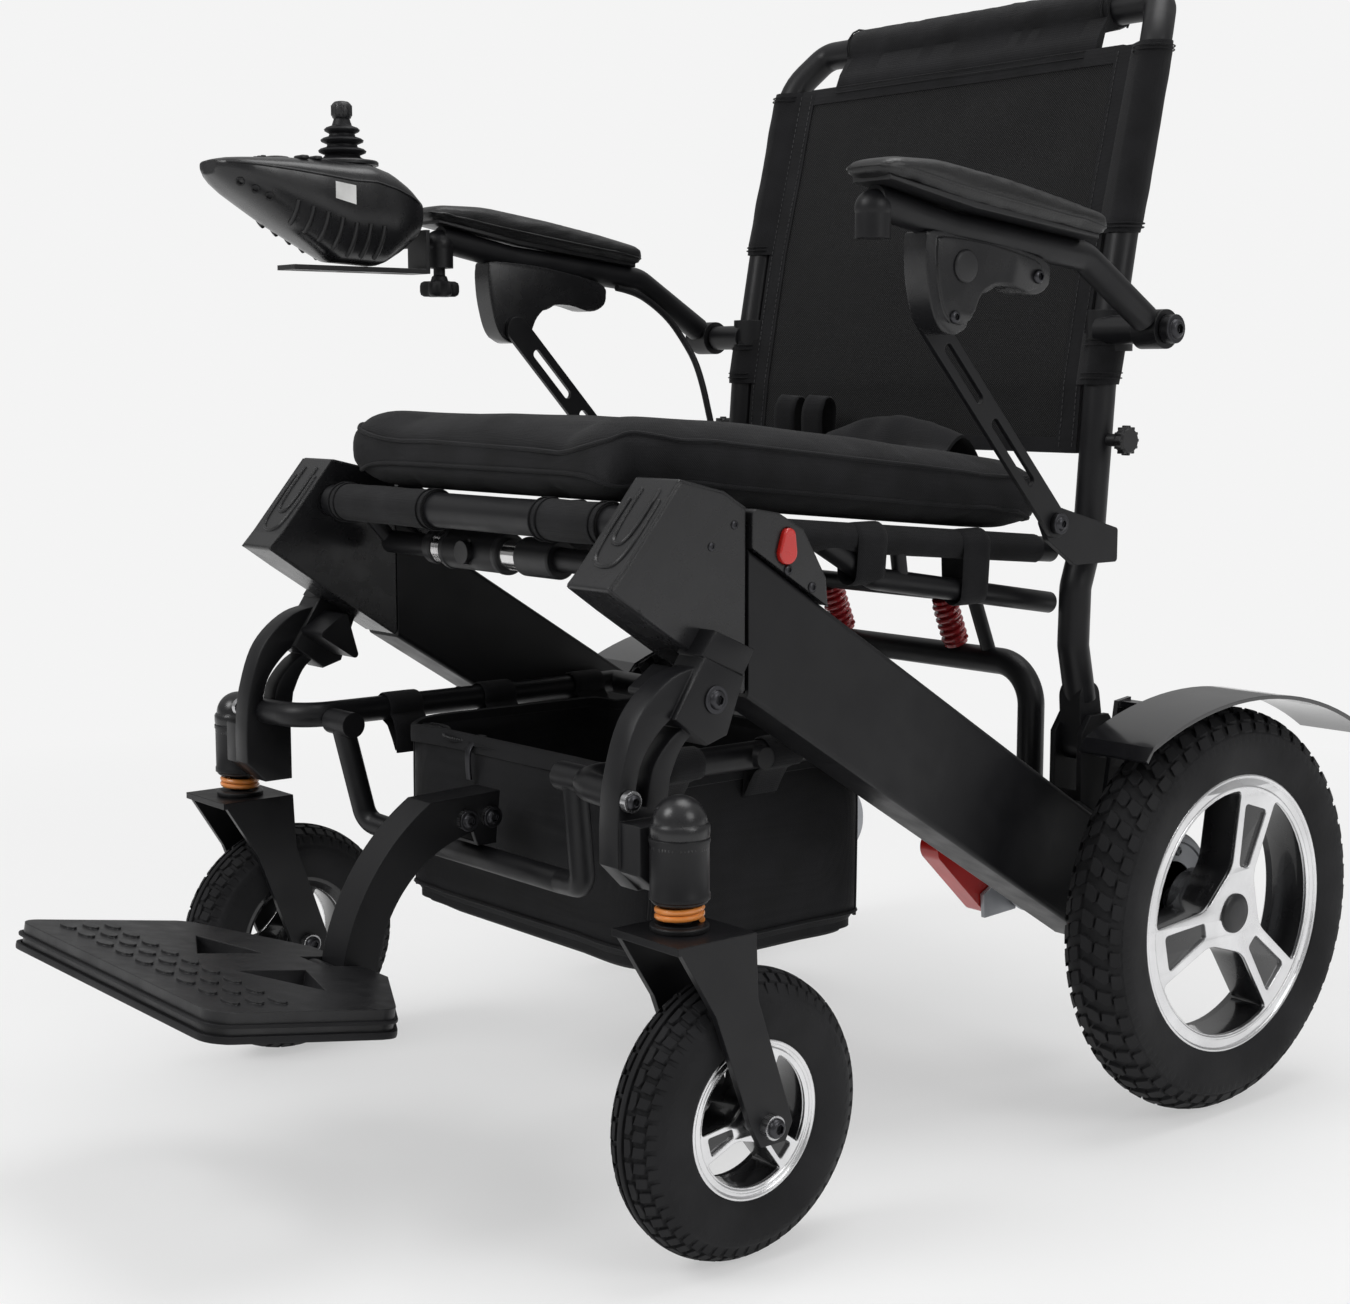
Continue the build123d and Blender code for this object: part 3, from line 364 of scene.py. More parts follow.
def rounded(corners, radius, steps=5):
    """A flat outline with its corners rounded, by one radius or one for each corner."""
    made = []
    for i, corner in enumerate(corners):
        a, b, c = Vector(corners[i - 1]), Vector(corner), Vector(corners[(i + 1) % len(corners)])
        size = radius[i] if isinstance(radius, (list, tuple)) else radius
        u, v = a - b, c - b
        half = u.angle(v) / 2
        if not size or half > radians(88):
            made.append(b)
            continue
        reach = min(size / tan(half), 0.48 * u.length, 0.48 * v.length)
        start, end = b + u.normalized() * reach, b + v.normalized() * reach
        for k in range(steps + 1):
            t = k / steps
            made.append(start * (1 - t) ** 2 + b * 2 * t * (1 - t) + end * t * t)
    return made


def value_at(table, key):
    """Straight-line reading of a table of (key, value, ...) rows."""
    if key <= table[0][0]:
        return table[0][1:]
    for low, high in zip(table, table[1:]):
        if key <= high[0]:
            t = (key - low[0]) / (high[0] - low[0])
            return tuple(a + (b - a) * t for a, b in zip(low[1:], high[1:]))
    return table[-1][1:]


def ease(low, high, value):
    t = min(1.0, max(0.0, (value - low) / (high - low)))
    return t * t * (3 - 2 * t)


def way_of(value):
    return 1 if value > 0 else -1


def squared(value, power):
    """A sine or cosine with its size raised to a power, which squares off an oval."""
    return abs(value) ** power * way_of(value)


def square_to(axis):
    """An axis with two directions square to it."""
    axis = Vector(axis).normalized()
    side = axis.orthogonal().normalized()
    return axis, side, axis.cross(side)


def ripple(x, y, z, size):
    """Smooth unevenness between -1 and 1, the same on every run."""
    return noise.noise(Vector((x, y, z)) / size)


def mesh_of(curve):
    holder = bpy.data.objects.new(curve.name, curve)
    mesh = bpy.data.meshes.new_from_object(holder)
    bpy.data.objects.remove(holder)
    return mesh


class Shape:
    """Geometry gathered in millimetres from the rear axle and saved as one piece."""

    def __init__(self):
        self.points, self.faces = [], []

    def add(self, points, faces):
        start = len(self.points)
        self.points += [Vector(p) for p in points]
        self.faces += [[start + i for i in face] for face in faces]

    def grid(self, rows, wrap=False, loop=False, caps=False):
        """Quads between rows of points: wrap closes each row, loop joins the last row to the first."""
        count, width = len(rows), len(rows[0])
        faces = [(i * width + j, i * width + (j + 1) % width, (i + 1) % count * width + (j + 1) % width,
                  (i + 1) % count * width + j)
                 for i in range(count if loop else count - 1) for j in range(width if wrap else width - 1)]
        if caps:
            faces += [tuple(range(width)), tuple((count - 1) * width + j for j in range(width))]
        self.add([p for row in rows for p in row], faces)

    def tube(self, points, radius, sides=12, loop=False, up=None, flat=None, caps=True):
        """A round bar, or a flat one of the half sizes flat, along a path."""
        rows = []
        for i, (p, side, other) in enumerate(path_frames([Vector(q) for q in points], loop, up)):
            r = radius[i] if isinstance(radius, (list, tuple)) else radius
            wide, thin = flat or (r, r)
            power = 0.45 if flat else 1.0
            rows.append([p + side * wide * squared(cos(a), power) + other * thin * squared(sin(a), power)
                         for a in turns(sides, 0.01)])
        self.grid(rows, wrap=True, loop=loop, caps=caps and not loop)

    def turned(self, profile, place, axis=(1, 0, 0), steps=48, closed=True):
        """A turned shape: (along, radius) points swept round an axis through place."""
        (axis, side, other), place = square_to(axis), Vector(place)
        self.grid([[place + axis * along + (side * cos(a) + other * sin(a)) * radius
                    for along, radius in profile] for a in turns(steps)], wrap=closed, loop=True)

    def take(self, made, matrix=None):
        if matrix:
            made.transform(matrix)
        made.verts.index_update()
        self.add([v.co.copy() for v in made.verts], [[v.index for v in f.verts] for f in made.faces])
        made.free()

    def box(self, low, high, edge=1.0):
        made = bmesh.new()
        bmesh.ops.create_cube(made, size=1)
        low, high = Vector(low), Vector(high)
        for v in made.verts:
            v.co = (low + high) / 2 + Vector(c * s for c, s in zip(v.co, high - low))
        bmesh.ops.bevel(made, geom=made.edges[:], offset=edge, segments=2, affect="EDGES", profile=0.5)
        self.take(made)

    def prism(self, outline, low, high, edge=0.8):
        """A side-view outline of (y, z) points made solid between two x, with rounded edges."""
        made = bmesh.new()
        ends = [[made.verts.new((x, y, z)) for y, z in outline] for x in (low, high)]
        for end in ends:
            made.faces.new(end)
        for i in range(len(outline)):
            made.faces.new((ends[0][i - 1], ends[0][i], ends[1][i], ends[1][i - 1]))
        rims = [e for e in made.edges if abs(e.verts[0].co.x - e.verts[1].co.x) < 1e-6]
        bmesh.ops.bevel(made, geom=rims, offset=edge, segments=2, affect="EDGES", profile=0.5)
        self.take(made)

    def sheet(self, outlines, depth, edge, matrix):
        """A flat sheet with holes: outlines in its own x and y, with its front at z = 0."""
        curve = bpy.data.curves.new("outline", "CURVE")
        curve.dimensions, curve.fill_mode = "2D", "BOTH"
        curve.extrude, curve.bevel_depth, curve.bevel_resolution = depth / 2 - edge, edge, 1
        curve.offset = -edge
        for outline in outlines:
            line = curve.splines.new("POLY")
            line.points.add(len(outline) - 1)
            line.use_cyclic_u = True
            for point, (x, y) in zip(line.points, outline):
                point.co = (x, y, 0, 1)
        mesh = mesh_of(curve)
        made = bmesh.new()
        made.from_mesh(mesh)
        bpy.data.meshes.remove(mesh)
        self.take(made, matrix @ Matrix.Translation((0, 0, -depth / 2)))

    def bolt(self, place, axis, radius=5.0, height=None, washer=0.0, steps=24):
        """A round-headed bolt with a hexagon socket."""
        h = height or radius * 0.6
        (axis, side, other), place = square_to(axis), Vector(place)
        rows = []
        for a in turns(steps):
            hexagon = radius * 0.46 / cos((a + pi / 6) % (pi / 3) - pi / 6)
            profile = [(-0.5, 0), (-0.5, radius), (h * 0.35, radius), (h * 0.75, radius * 0.86),
                       (h, radius * 0.62), (h, hexagon), (h * 0.25, hexagon), (h * 0.2, 0)]
            rows.append([place + axis * u + (side * cos(a) + other * sin(a)) * r for u, r in profile])
        self.grid(rows, loop=True)
        if washer:
            self.turned([(-0.6, 0), (-0.6, washer), (0.8, washer), (1.1, washer - 0.4), (1.1, 0)],
                        place, axis, steps, closed=False)

    def coil(self, base, axis, radius, wire, count, pitch, sides=8):
        axis, side, other = square_to(axis)
        steps = round(20 * count)
        self.tube([Vector(base) + axis * pitch * k / 20 + (side * cos(k * pi / 10) + other * sin(k * pi / 10))
                   * radius for k in range(steps + 1)], wire, sides)

    def mirrored(self):
        made = Shape()
        made.points = [Vector((-p.x, p.y, p.z)) for p in self.points]
        made.faces = [list(face) for face in self.faces]
        return made

    def join(self, other):
        self.add(other.points, other.faces)
        return self

    def save(self, name, slot, body=None, replaces=(), finish=None, angle=35):
        """The finished piece: one mesh with its finish, riding on its body."""
        mesh = bpy.data.meshes.new(name)
        mesh.from_pydata([at(*p) for p in self.points], [], self.faces)
        made = bmesh.new()
        made.from_mesh(mesh)
        bmesh.ops.remove_doubles(made, verts=made.verts, dist=1e-5)
        bmesh.ops.dissolve_degenerate(made, edges=made.edges, dist=1e-6)
        bmesh.ops.recalc_face_normals(made, faces=made.faces)
        made.to_mesh(mesh)
        made.free()
        thing = bpy.data.objects.new(name, mesh)
        scene.collection.objects.link(thing)
        return dressed(thing, slot, body, replaces, finish, angle)


def dressed(thing, slot, body=None, replaces=(), finish=None, angle=35):
    """Finish (the slot's material unless a finish is named), smooth shading, body and replaced nodes of a piece whose
    mesh is final.
    """
    thing.data.materials.clear()
    thing.data.materials.append(MATERIALS[finish or slot])
    thing.data.shade_smooth()
    thing.data.set_sharp_from_angle(angle=radians(angle))
    if replaces:
        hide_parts(*replaces)
    if body:
        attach(thing, body)
    return thing


def pair(shape, name, slot, body, replaces=(), **more):
    """A left piece and its mirror image. Names of bodies and nodes that end in _ get their side."""
    made = []
    for side, one in (("left", shape), ("right", shape.mirrored())):
        made.append(one.save(f"{name}_{side}", slot, body + side if body.endswith("_") else body,
                             [n + side if n.endswith("_") else n for n in replaces], **more))
    return made


CLOTH_FRAMES = 18


def puffed(thing, voxel, pressure, cap):
    """Even quads, then cloth filled by pressure, with no point moved further than cap."""
    even = thing.modifiers.new("even", "REMESH")
    even.mode, even.voxel_size = "VOXEL", voxel
    graph = bpy.context.evaluated_depsgraph_get()
    thing.data = bpy.data.meshes.new_from_object(thing.evaluated_get(graph))
    thing.modifiers.clear()
    cloth = thing.modifiers.new("cloth", "CLOTH")
    cloth.settings.use_pressure = True
    cloth.settings.uniform_pressure_force = pressure
    cloth.settings.effector_weights.gravity = 0
    cloth.point_cache.frame_end = CLOTH_FRAMES
    for step in range(1, CLOTH_FRAMES + 1):
        scene.frame_set(step)
    graph = bpy.context.evaluated_depsgraph_get()
    swollen = thing.evaluated_get(graph).data
    moved = []
    for start, end in zip(thing.data.vertices, swollen.vertices):
        shift = end.co - start.co
        moved.append(start.co + shift * min(1.0, cap / max(shift.length, 1e-9)))
    thing.modifiers.clear()
    for vertex, place in zip(thing.data.vertices, moved):
        vertex.co = place
    scene.frame_set(1)
    return thing


def hugging(thing, points, proud=0.0):
    """The points moved on to the surface of a piece, in millimetres from the rear axle."""
    tree = BVHTree.FromPolygons([v.co for v in thing.data.vertices], [p.vertices for p in thing.data.polygons])
    made = []
    for point in points:
        place, normal, _, _ = tree.find_nearest(at(*point))
        made.append(from_frame(place + normal * proud * MM))
    return made


# ---------------------------------------------------------------- places that several pieces share
REAR_WHEEL, CASTER_WHEEL = (305, 0, 159), (290, -482, 97)
STEER_X, STEER_Y = 287, -527
RAIL_X = 178


# ---------------------------------------------------------------- wheels
def tyre_skin(half, top, seat, middle, t):
    """(offset along the axle, radius) on a tyre's outside: t is 0 at the crown, 1 where widest, 2 at the bead."""
    size = abs(t)
    way = 1 if t > 0 else -1
    if size <= 1:
        angle = size * pi / 2
        return way * half * sin(angle), middle + (top - middle) * cos(angle)
    down = size - 1
    return way * (half - 4 * down * down), middle - (middle - seat) * down


BLOCK_SPREAD = 1.12  # a tread block's foot is wider than its top


def tyre_piece(place, half, top, seat, depth, pattern):
    """A tyre with its tread blocks, on an axle along X."""
    middle = (top + seat) / 2 - 2
    made = Shape()

    def skin(angle, t, drop=0.0):
        along, radius = tyre_skin(half, top, seat, middle, t)
        out = Vector((along * 0.75 / half, radius - middle)).normalized() if abs(t) < 1 else Vector((0, 0))
        along, radius = along - out.x * drop, radius - out.y * drop
        return Vector(place) + Vector((along, radius * cos(angle), radius * sin(angle)))

    profile = [k / 14 for k in range(-28, 29)]
    rows = []
    for angle in turns(144):
        row = []
        for t in profile:
            wall = 0.35 * sin(40 * pi * (abs(t) - 1.2)) if 1.2 < abs(t) < 1.4 else 0.0
            row.append(skin(angle, t, depth * (1 - ease(0.62, 0.8, abs(t))) - wall))
        rows.append(row + [Vector(place) + Vector((x, (seat - 2) * cos(angle), (seat - 2) * sin(angle)))
                           for x in (half - 6, -half + 6)])
    made.grid(rows, wrap=True, loop=True)
    for count, shift, corners in pattern:
        step = 2 * pi / count
        for k in range(count):
            for way in (1, -1):
                start = (k + (shift if way > 0 else shift + 0.5)) * step
                top_row, low_row = [], []
                for turn, t in corners:
                    top_row.append(skin(start + turn * step, t * way))
                    low_row.append(skin(start + turn * step * BLOCK_SPREAD, t * way, depth + 0.6))
                made.grid([low_row, top_row], wrap=True)
                made.add(top_row, [tuple(range(len(top_row)))])
    return made


def window_outline(first, ring, hub, arm_in, arm_out, reach_in, reach_out):
    """One opening between two arms: first is the angle of the arm before it, in degrees."""
    def edge(angle, reach, way):
        spread = arm_in + (arm_out - arm_in) * (reach - reach_in) / (reach_out - reach_in)
        c, s = cos(radians(angle)), sin(radians(angle))
        return (reach * c - way * spread * s, reach * s + way * spread * c)

    def meet(angle, way):
        reach = ring
        for _ in range(30):
            y, z = edge(angle, reach, way)
            reach -= (y * y + z * z) ** 0.5 - ring
        return edge(angle, reach, way)

    start, end = meet(first, 1), meet(first + 120, -1)
    low, high = atan2(start[1], start[0]), atan2(end[1], end[0])
    high += 2 * pi if high < low else 0
    arc = [(ring * cos(low + (high - low) * k / 14), ring * sin(low + (high - low) * k / 14)) for k in range(15)]
    inner = [edge(first + 120, hub * 1.15, -1), edge(first, hub * 1.15, 1)]
    radii = [5.0] + [0] * 13 + [5.0, hub * 0.9, hub * 0.9]
    return rounded(arc + inner, radii, 7)


def wheel_face(radius, ring, hub, arm_in, arm_out, phase):
    """Outlines of a rim's bright face: its rim, three openings and three pockets."""
    rim = [(radius * cos(a), radius * sin(a)) for a in turns(96)]
    openings = [window_outline(phase + 120 * k, ring, hub, arm_in, arm_out, hub, ring) for k in range(3)]
    pockets = []
    for k in range(3):
        c, s = cos(radians(phase + 120 * k)), sin(radians(phase + 120 * k))
        corners = [(reach * c - way * s, reach * s + way * c) for reach, way in (
            (hub * 1.25, -arm_in * 0.45), (ring * 0.88, -arm_out * 0.62), (ring * 0.88, arm_out * 0.62),
            (hub * 1.25, arm_in * 0.45))]
        pockets.append(rounded(corners, hub * 0.13))
    return rim, openings, pockets


def rim_pieces(name, nodes, body, place, half, radius, ring, hub, arms, phase, cap):
    """A cast rim: black barrel and arms, a machined bright face and a hub cap."""
    x, y, z = place
    rim, openings, pockets = wheel_face(radius - 0.6, ring, hub, *arms, phase)
    face_x = x + half * 0.93
    turned_out = Matrix(((0, 0, 1, face_x), (1, 0, 0, y), (0, 1, 0, z), (0, 0, 0, 1)))
    core = Shape()
    core.turned([(-half, radius), (-half, radius - 3), (-half * 0.7, ring + 1), (half * 0.7, ring + 1),
                 (half * 0.86, ring + 0.5), (half * 0.86, radius - 1), (half * 0.5, radius), (0, radius - 6),
                 (-half * 0.5, radius)], place, steps=96)
    inner_rim = [(((ring + 3) * cos(a)), ((ring + 3) * sin(a))) for a in turns(96)]
    core.sheet([inner_rim] + openings, half * 1.25, 0.8, turned_out @ Matrix.Translation((0, 0, -2.6)))
    core.turned([(-half * 0.98, hub * 0.5), (-half * 0.98, hub * 0.9), (-half * 0.8, hub), (half * 0.6, hub),
                 (half * 0.6, hub * 0.5)], place, steps=48)
    pair(core, name + "_core", "rim_alloy", body, nodes, finish="rim_black")
    face = Shape()
    face.sheet([rim] + openings + pockets, 3.2, 0.6, turned_out)
    lip = half - half * 0.93
    face.turned([(0, radius - 0.8), (lip * 0.7, radius - 1.2), (lip * 0.9, radius - 2.4), (lip * 0.5, radius - 3.6),
                 (-0.5, radius - 4)], (face_x, y, z), steps=96)
    face.turned([(-0.4, ring + 4), (0.5, ring + 3), (0.5, ring + 2), (-0.4, ring + 1)], (face_x, y, z), steps=96)
    pair(face, name + "_face", "rim_alloy", body)
    plug = Shape()
    plug.turned([(-2, 0), (-2, cap), (1.5, cap), (2.6, cap - 1.2), (3.4, cap * 0.6), (3.7, 0)],
                (face_x, y, z), steps=40, closed=False)
    pair(plug, name + "_cap", "moulded_black", body)


# Each pattern row: how many blocks, a shift, and the block's corners as (share of a step, place across the tread).
REAR_TREAD = [
    (52, 0.0, [(-0.30, 0.03), (0.22, 0.03), (0.42, 0.17), (0.34, 0.24), (-0.05, 0.24), (-0.22, 0.15)]),
    (52, 0.3, [(-0.34, 0.30), (0.10, 0.27), (0.36, 0.42), (0.30, 0.50), (-0.18, 0.50)]),
    (52, 0.75, [(-0.40, 0.55), (0.16, 0.54), (0.28, 0.66), (0.18, 0.74), (-0.36, 0.72)]),
    (104, 0.0, [(-0.30, 0.78), (0.30, 0.78), (0.26, 0.92), (-0.26, 0.92)]),
]
CASTER_TREAD = [
    (40, 0.0, [(-0.38, 0.13), (0.38, 0.13), (0.38, 0.22), (0.10, 0.26), (-0.38, 0.24)]),
    (56, 0.2, [(-0.34, 0.31), (0.30, 0.28), (0.34, 0.46), (-0.30, 0.50)]),
    (56, 0.7, [(-0.34, 0.54), (0.34, 0.51), (0.30, 0.86), (-0.28, 0.90)]),
]
for kind, place, half, top, seat, depth, pattern in (
        ("rear", REAR_WHEEL, 28, 159, 110, 3.4, REAR_TREAD),
        ("caster", CASTER_WHEEL, 24, 97, 54, 2.6, CASTER_TREAD)):
    wheel = tyre_piece(place, half, top, seat, depth, pattern)
    if kind == "caster":  # the rib round the crown
        rib = [(-2.2, top - 3), (-2.2, top - 0.4), (-1.4, top), (1.4, top), (2.2, top - 0.4), (2.2, top - 3)]
        wheel.turned(rib, place, steps=144)
    pair(wheel, kind + "_tread", "tyre_rubber", kind + "_wheel_", [kind + "_tyre_"], angle=28)
rim_pieces("rear_wheel", ["rear_rim_"], "rear_wheel_", REAR_WHEEL, 24, 110, 96, 29, (13.5, 23.5), 73, 15.5)
rim_pieces("caster_wheel", ["caster_rim_"], "caster_wheel_", CASTER_WHEEL, 20, 54, 44.5, 15, (6.5, 10.5), 75, 8)

# motor hubs seen through the rear wheels, with their cable glands
motor = Shape()
motor.turned([(266, 0), (266, 30), (264, 44), (268, 46), (268, 50), (262, 53), (256, 54.2), (246, 54.2),
              (246, 0)], (0, 0, 159), steps=64, closed=False)
for angle in turns(6, 0.3):
    motor.bolt((266.2, 38 * cos(angle), 159 + 38 * sin(angle)), (1, 0, 0), 3.6)
for k in range(9):
    motor.turned([(124 + k * 7, 35.5), (124 + k * 7, 37.6), (127 + k * 7, 37.6), (127 + k * 7, 35.5)],
                 (0, 0, 159), steps=48)
pair(motor, "motor_cover", "motor_alloy", "chassis")


# ---------------------------------------------------------------- cushion
def lens_row(half, low, high, count, power, shape):
    """One closed slice across the chair: a rounded rectangle whose points shape(x, z) moves."""
    row = []
    for a in turns(count):
        c, s = cos(a), sin(a)
        x = half * squared(c, 2 / power[0])
        z = (low + high) / 2 + (high - low) / 2 * squared(s, 2 / power[1])
        row.append(shape(x, z))
    return row


CUSHION_TOP = [(-487, 519), (-484, 532), (-474, 541), (-460, 543), (-380, 538), (-300, 530), (-180, 516),
               (-66, 502), (-58, 490)]
CUSHION_LOW = [(-487, 500), (-482, 494), (-470, 490.5), (-60, 452), (-56, 451)]
CUSHION_HALF = [(-487, 168), (-484, 178), (-476, 184), (-440, 186), (-90, 186), (-66, 183), (-58, 172)]


def cushion_contour(x, y):
    """How far the top sits above its plain line: shallow troughs under the thighs and a soft crown."""
    front = 1 - ease(-470, -330, y)
    troughs = -8 * 2.718 ** (-((x - 78) / 40) ** 2) - 4 * 2.718 ** (-((x + 78) / 44) ** 2)
    edge = 3.0 * ease(110, 165, abs(x)) * (1 - ease(168, 187, abs(x)))
    return front * (troughs + edge) + 3.5 * (1 - (x / 187) ** 2) * (1 - front) + 1.0 * ripple(x, y, 0, 60)


seat_cushion = Shape()
rows = []
for y in (-487, -485.5, -483, -479, -473, -465, *range(-452, -80, 12), -74, -67, -62, -59, -57):
    low, high, half = value_at(CUSHION_LOW, y)[0], value_at(CUSHION_TOP, y)[0], value_at(CUSHION_HALF, y)[0]
    rows.append(lens_row(half - 1.5, low + 1, high - 1, 72, (9, 3.2), lambda x, z, y=y: Vector(
        (x + 0.8 * ripple(x, y, z, 35), y, z + (cushion_contour(x, y) if z > (low + high) / 2 else 0)))))
seat_cushion.grid(rows, wrap=True, caps=True)
cushion = seat_cushion.save("seat_cushion", "seat_fabric")
cushion = puffed(cushion, 0.0055, 3.0, 0.004)
dressed(cushion, "seat_fabric", "seat", ["cushion"], angle=60)

piping = Shape()
for level, share in ((0.5, 1), (-0.5, -1)):
    line = []
    for k in range(180):
        a = 2 * pi * k / 180
        c, s = cos(a), sin(a)
        x = 187 * squared(c, 0.22)
        y = -271.5 + 215 * squared(s, 0.22)
        top, low = value_at(CUSHION_TOP, max(y, -478))[0], value_at(CUSHION_LOW, y)[0]
        z = top - 9 + cushion_contour(x * 0.9, y) if share > 0 else low + 7
        line.append((x, y, z))
    line = hugging(cushion, line, 0.5)
    piping.tube([(line[k - 1] + line[k] + line[(k + 1) % 180]) / 3 for k in range(180)], 1.7, 8, loop=True)
piping.save("cushion_piping", "seat_fabric", "seat")


# ---------------------------------------------------------------- backrest cover
BACK_FRONT = [(508, -43), (512, -43), (567, -38.5), (683, -17), (832, 20), (846, 26)]


def panel_place(x, z, deep):
    """A point of the back panel: it hollows a little between the posts, with small folds."""
    y = value_at(BACK_FRONT, z)[0]
    hollow = 5.5 * (1 - (x / 196) ** 2) * ease(505, 560, z) * (1 - 0.7 * ease(740, 835, z))
    folds = 1.0 * ripple(x * 0.5, z, 3, 46) + 0.7 * ripple(x, z * 0.4, 8, 25)
    return Vector((x, y + hollow + folds * (1 - ease(150, 190, abs(x))) + deep, z))


def panel_sheet(lows, highs, z_low, z_high, front, back, columns=60, lines=70):
    made = Shape()
    rows = []
    for j in range(lines + 1):
        z = z_low + (z_high - z_low) * j / lines
        xs = [lows + (highs - lows) * i / columns for i in range(columns + 1)]
        rows.append([panel_place(x, z, front) for x in xs] + [panel_place(x, z, back) for x in xs[::-1]])
    made.grid(rows, wrap=True, caps=True)
    return made


panel_sheet(-180, 180, 513, 831, 0.6, 6.4).save("back_mesh", "seat_fabric", "backrest", ["back_upholstery"],
                                              finish="mesh")
binding = Shape()
for low, high in ((-195, -174), (174, 195)):
    binding.join(panel_sheet(low, high, 512, 833, -0.8, 8.2, 4, 70))
binding.join(panel_sheet(-180, 180, 820, 834, -0.6, 8.0, 60, 3))
binding.join(panel_sheet(-180, 180, 512, 524, -0.6, 8.0, 60, 3))
binding.save("back_binding", "seat_fabric", "backrest")
stitches = Shape()
for x in (-177.5, 177.5, -191, 191):
    for k in range(64):
        z = 517 + k * 4.9
        a, b = panel_place(x, z, -1.0), panel_place(x, z + 3.2, -1.0)
        stitches.tube([a, (a + b) / 2 + Vector((0, -0.35, 0)), b], 0.42, 5)
stitches.save("back_stitching", "seat_fabric", "backrest", finish="thread")

# the cover's top: up from the panel, over the top tube and down behind it
roll = Shape()
rows = []
for k in range(61):
    x = -150 + 5 * k
    gather = ease(142, 150, abs(x))
    row = []
    outline = [(24 + 1.5, 822), (21.5, 834), (26, 845)]
    for j in range(22):
        a = radians(205 - j * 250 / 21)
        swell = 18.6 - 2.2 * gather + 1.1 * ripple(x, j * 7, 2, 30) + 0.5 * ripple(x, j * 5, 9, 9)
        outline.append((52 + swell * cos(a), 868 + swell * sin(a)))
    outline += [(36, 848), (30.5, 834), (30, 822)]
    for y, z in outline:
        row.append((x + (2.5 * ripple(y, z, 5, 14) if abs(x) > 140 else 0), y, z))
    rows.append(row)
roll.grid(rows, wrap=True, caps=True)
roll.save("head_roll", "seat_fabric", "backrest", angle=50)
seam = Shape()
for x in (-146.5, 146.5):
    ring = [(x, 52 + 19.4 * cos(a), 868 + 19.4 * sin(a)) for a in [radians(200 - 24 * j) for j in range(11)]]
    seam.tube(ring, 0.9, 6)
for z, y in ((833, 19.6), (828, 18.4)):
    seam.tube([(x, y - 0.2, z) for x in range(-146, 147, 6)], 0.55, 6)
seam.save("head_roll_seams", "seat_fabric", "backrest")

# sleeves and bands that hold the panel to the posts
POST_LINE = flowing([(210, -34, 567), (210, -23.5, 625), (210, -12, 683), (210, 6, 760), (210, 22.5, 833)], 10)
holders = Shape()


def sleeve(low, high, radius, rows_high):
    """A fabric tube round the left post with a flap to the panel's edge."""
    rows = []
    for k in range(rows_high + 1):
        z = low + (high - low) * k / rows_high
        y = value_at([(p.z, p.y) for p in POST_LINE], z)[0]
        edge = min(1, min(k, rows_high - k) / 2)
        row = []
        for j in range(26):
            a = radians(168 + j * (384 - 168) / 25)
            r = radius - 0.9 * (1 - edge) + 0.7 * ripple(j * 6, z, 4, 22)
            row.append((210 + r * cos(a + pi / 2), y + r * sin(a + pi / 2), z))
        front = value_at(BACK_FRONT, z)[0]
        row += [(190, front + 7.5, z), (190, front - 0.6, z)]
        rows.append(row)
    holders.grid(rows, wrap=True, caps=True)


sleeve(684, 833, 15.2, 30)
sleeve(566, 606, 15.6, 8)
pair(holders, "post_sleeves", "seat_fabric", "backrest", angle=50)
bands = Shape()
for low, high in ((571, 575), (597, 601), (688, 691), (826, 829)):
    for z in (low, high):
        y = value_at([(p.z, p.y) for p in POST_LINE], z)[0]
        bands.tube([(210 + 16 * cos(a), y + 16 * sin(a), z) for a in turns(32)], 0.6, 6, loop=True)
pair(bands, "sleeve_seams", "seat_fabric", "backrest")

# folded flap and two strap loops lying behind the cushion
flap = Shape()
rows = []
for j in range(15):
    t = j / 14
    row = []
    for i in range(33):
        x = -40 + 150 * i / 32
        rise = 30 * sin(pi * min(1, t * 1.15)) * (0.55 + 0.45 * sin(pi * i / 32))
        row.append((x, -62 - 46 * t + 3 * ripple(x, t * 50, 3, 28),
                    506 + 8 * t + rise + 2 * ripple(x, t * 60, 7, 20)))
    rows.append(row)
flap.grid([row + [(x, y + 1.5, z - 2.2) for x, y, z in row[::-1]] for row in rows], wrap=True, caps=True)
for x in (-122, -86):
    loop = flowing([(x, -58, 500), (x + 2, -66, 520), (x + 6, -70, 542), (x + 10, -66, 554), (x + 10, -58, 548),
                    (x + 8, -56, 530), (x + 5, -55, 508)], 5)
    flap.tube(loop, 1, 10, up=(1, 0, 0), flat=(13, 1.1))
flap.save("waist_strap", "seat_fabric", "backrest", angle=50)


# ---------------------------------------------------------------- armrest pads
PAD_TOP = [(-354, 710), (-350, 714), (-340, 716.5), (-302, 716), (-230, 706.5), (-130, 690), (-126, 686)]
PAD_LOW = [(-354, 705), (-346, 703.6), (-262, 689.6), (-130, 673.5), (-126, 675)]
PAD_HALF = [(-354, 14), (-351, 19), (-344, 22.5), (-320, 24.6), (-200, 25.4), (-134, 25), (-128, 22), (-126, 18)]
pad_shape = Shape()
rows = []
for y in (-354, -352.5, -350, -346, -340, *range(-332, -136, 6), -133, -130, -128, -126.5):
    low, high, half = value_at(PAD_LOW, y)[0], value_at(PAD_TOP, y)[0], value_at(PAD_HALF, y)[0]
    rows.append(lens_row(half, low, high, 40, (4.5, 2.8), lambda x, z, y=y: Vector((268 + x, y, z))))
pad_shape.grid(rows, wrap=True, caps=True)
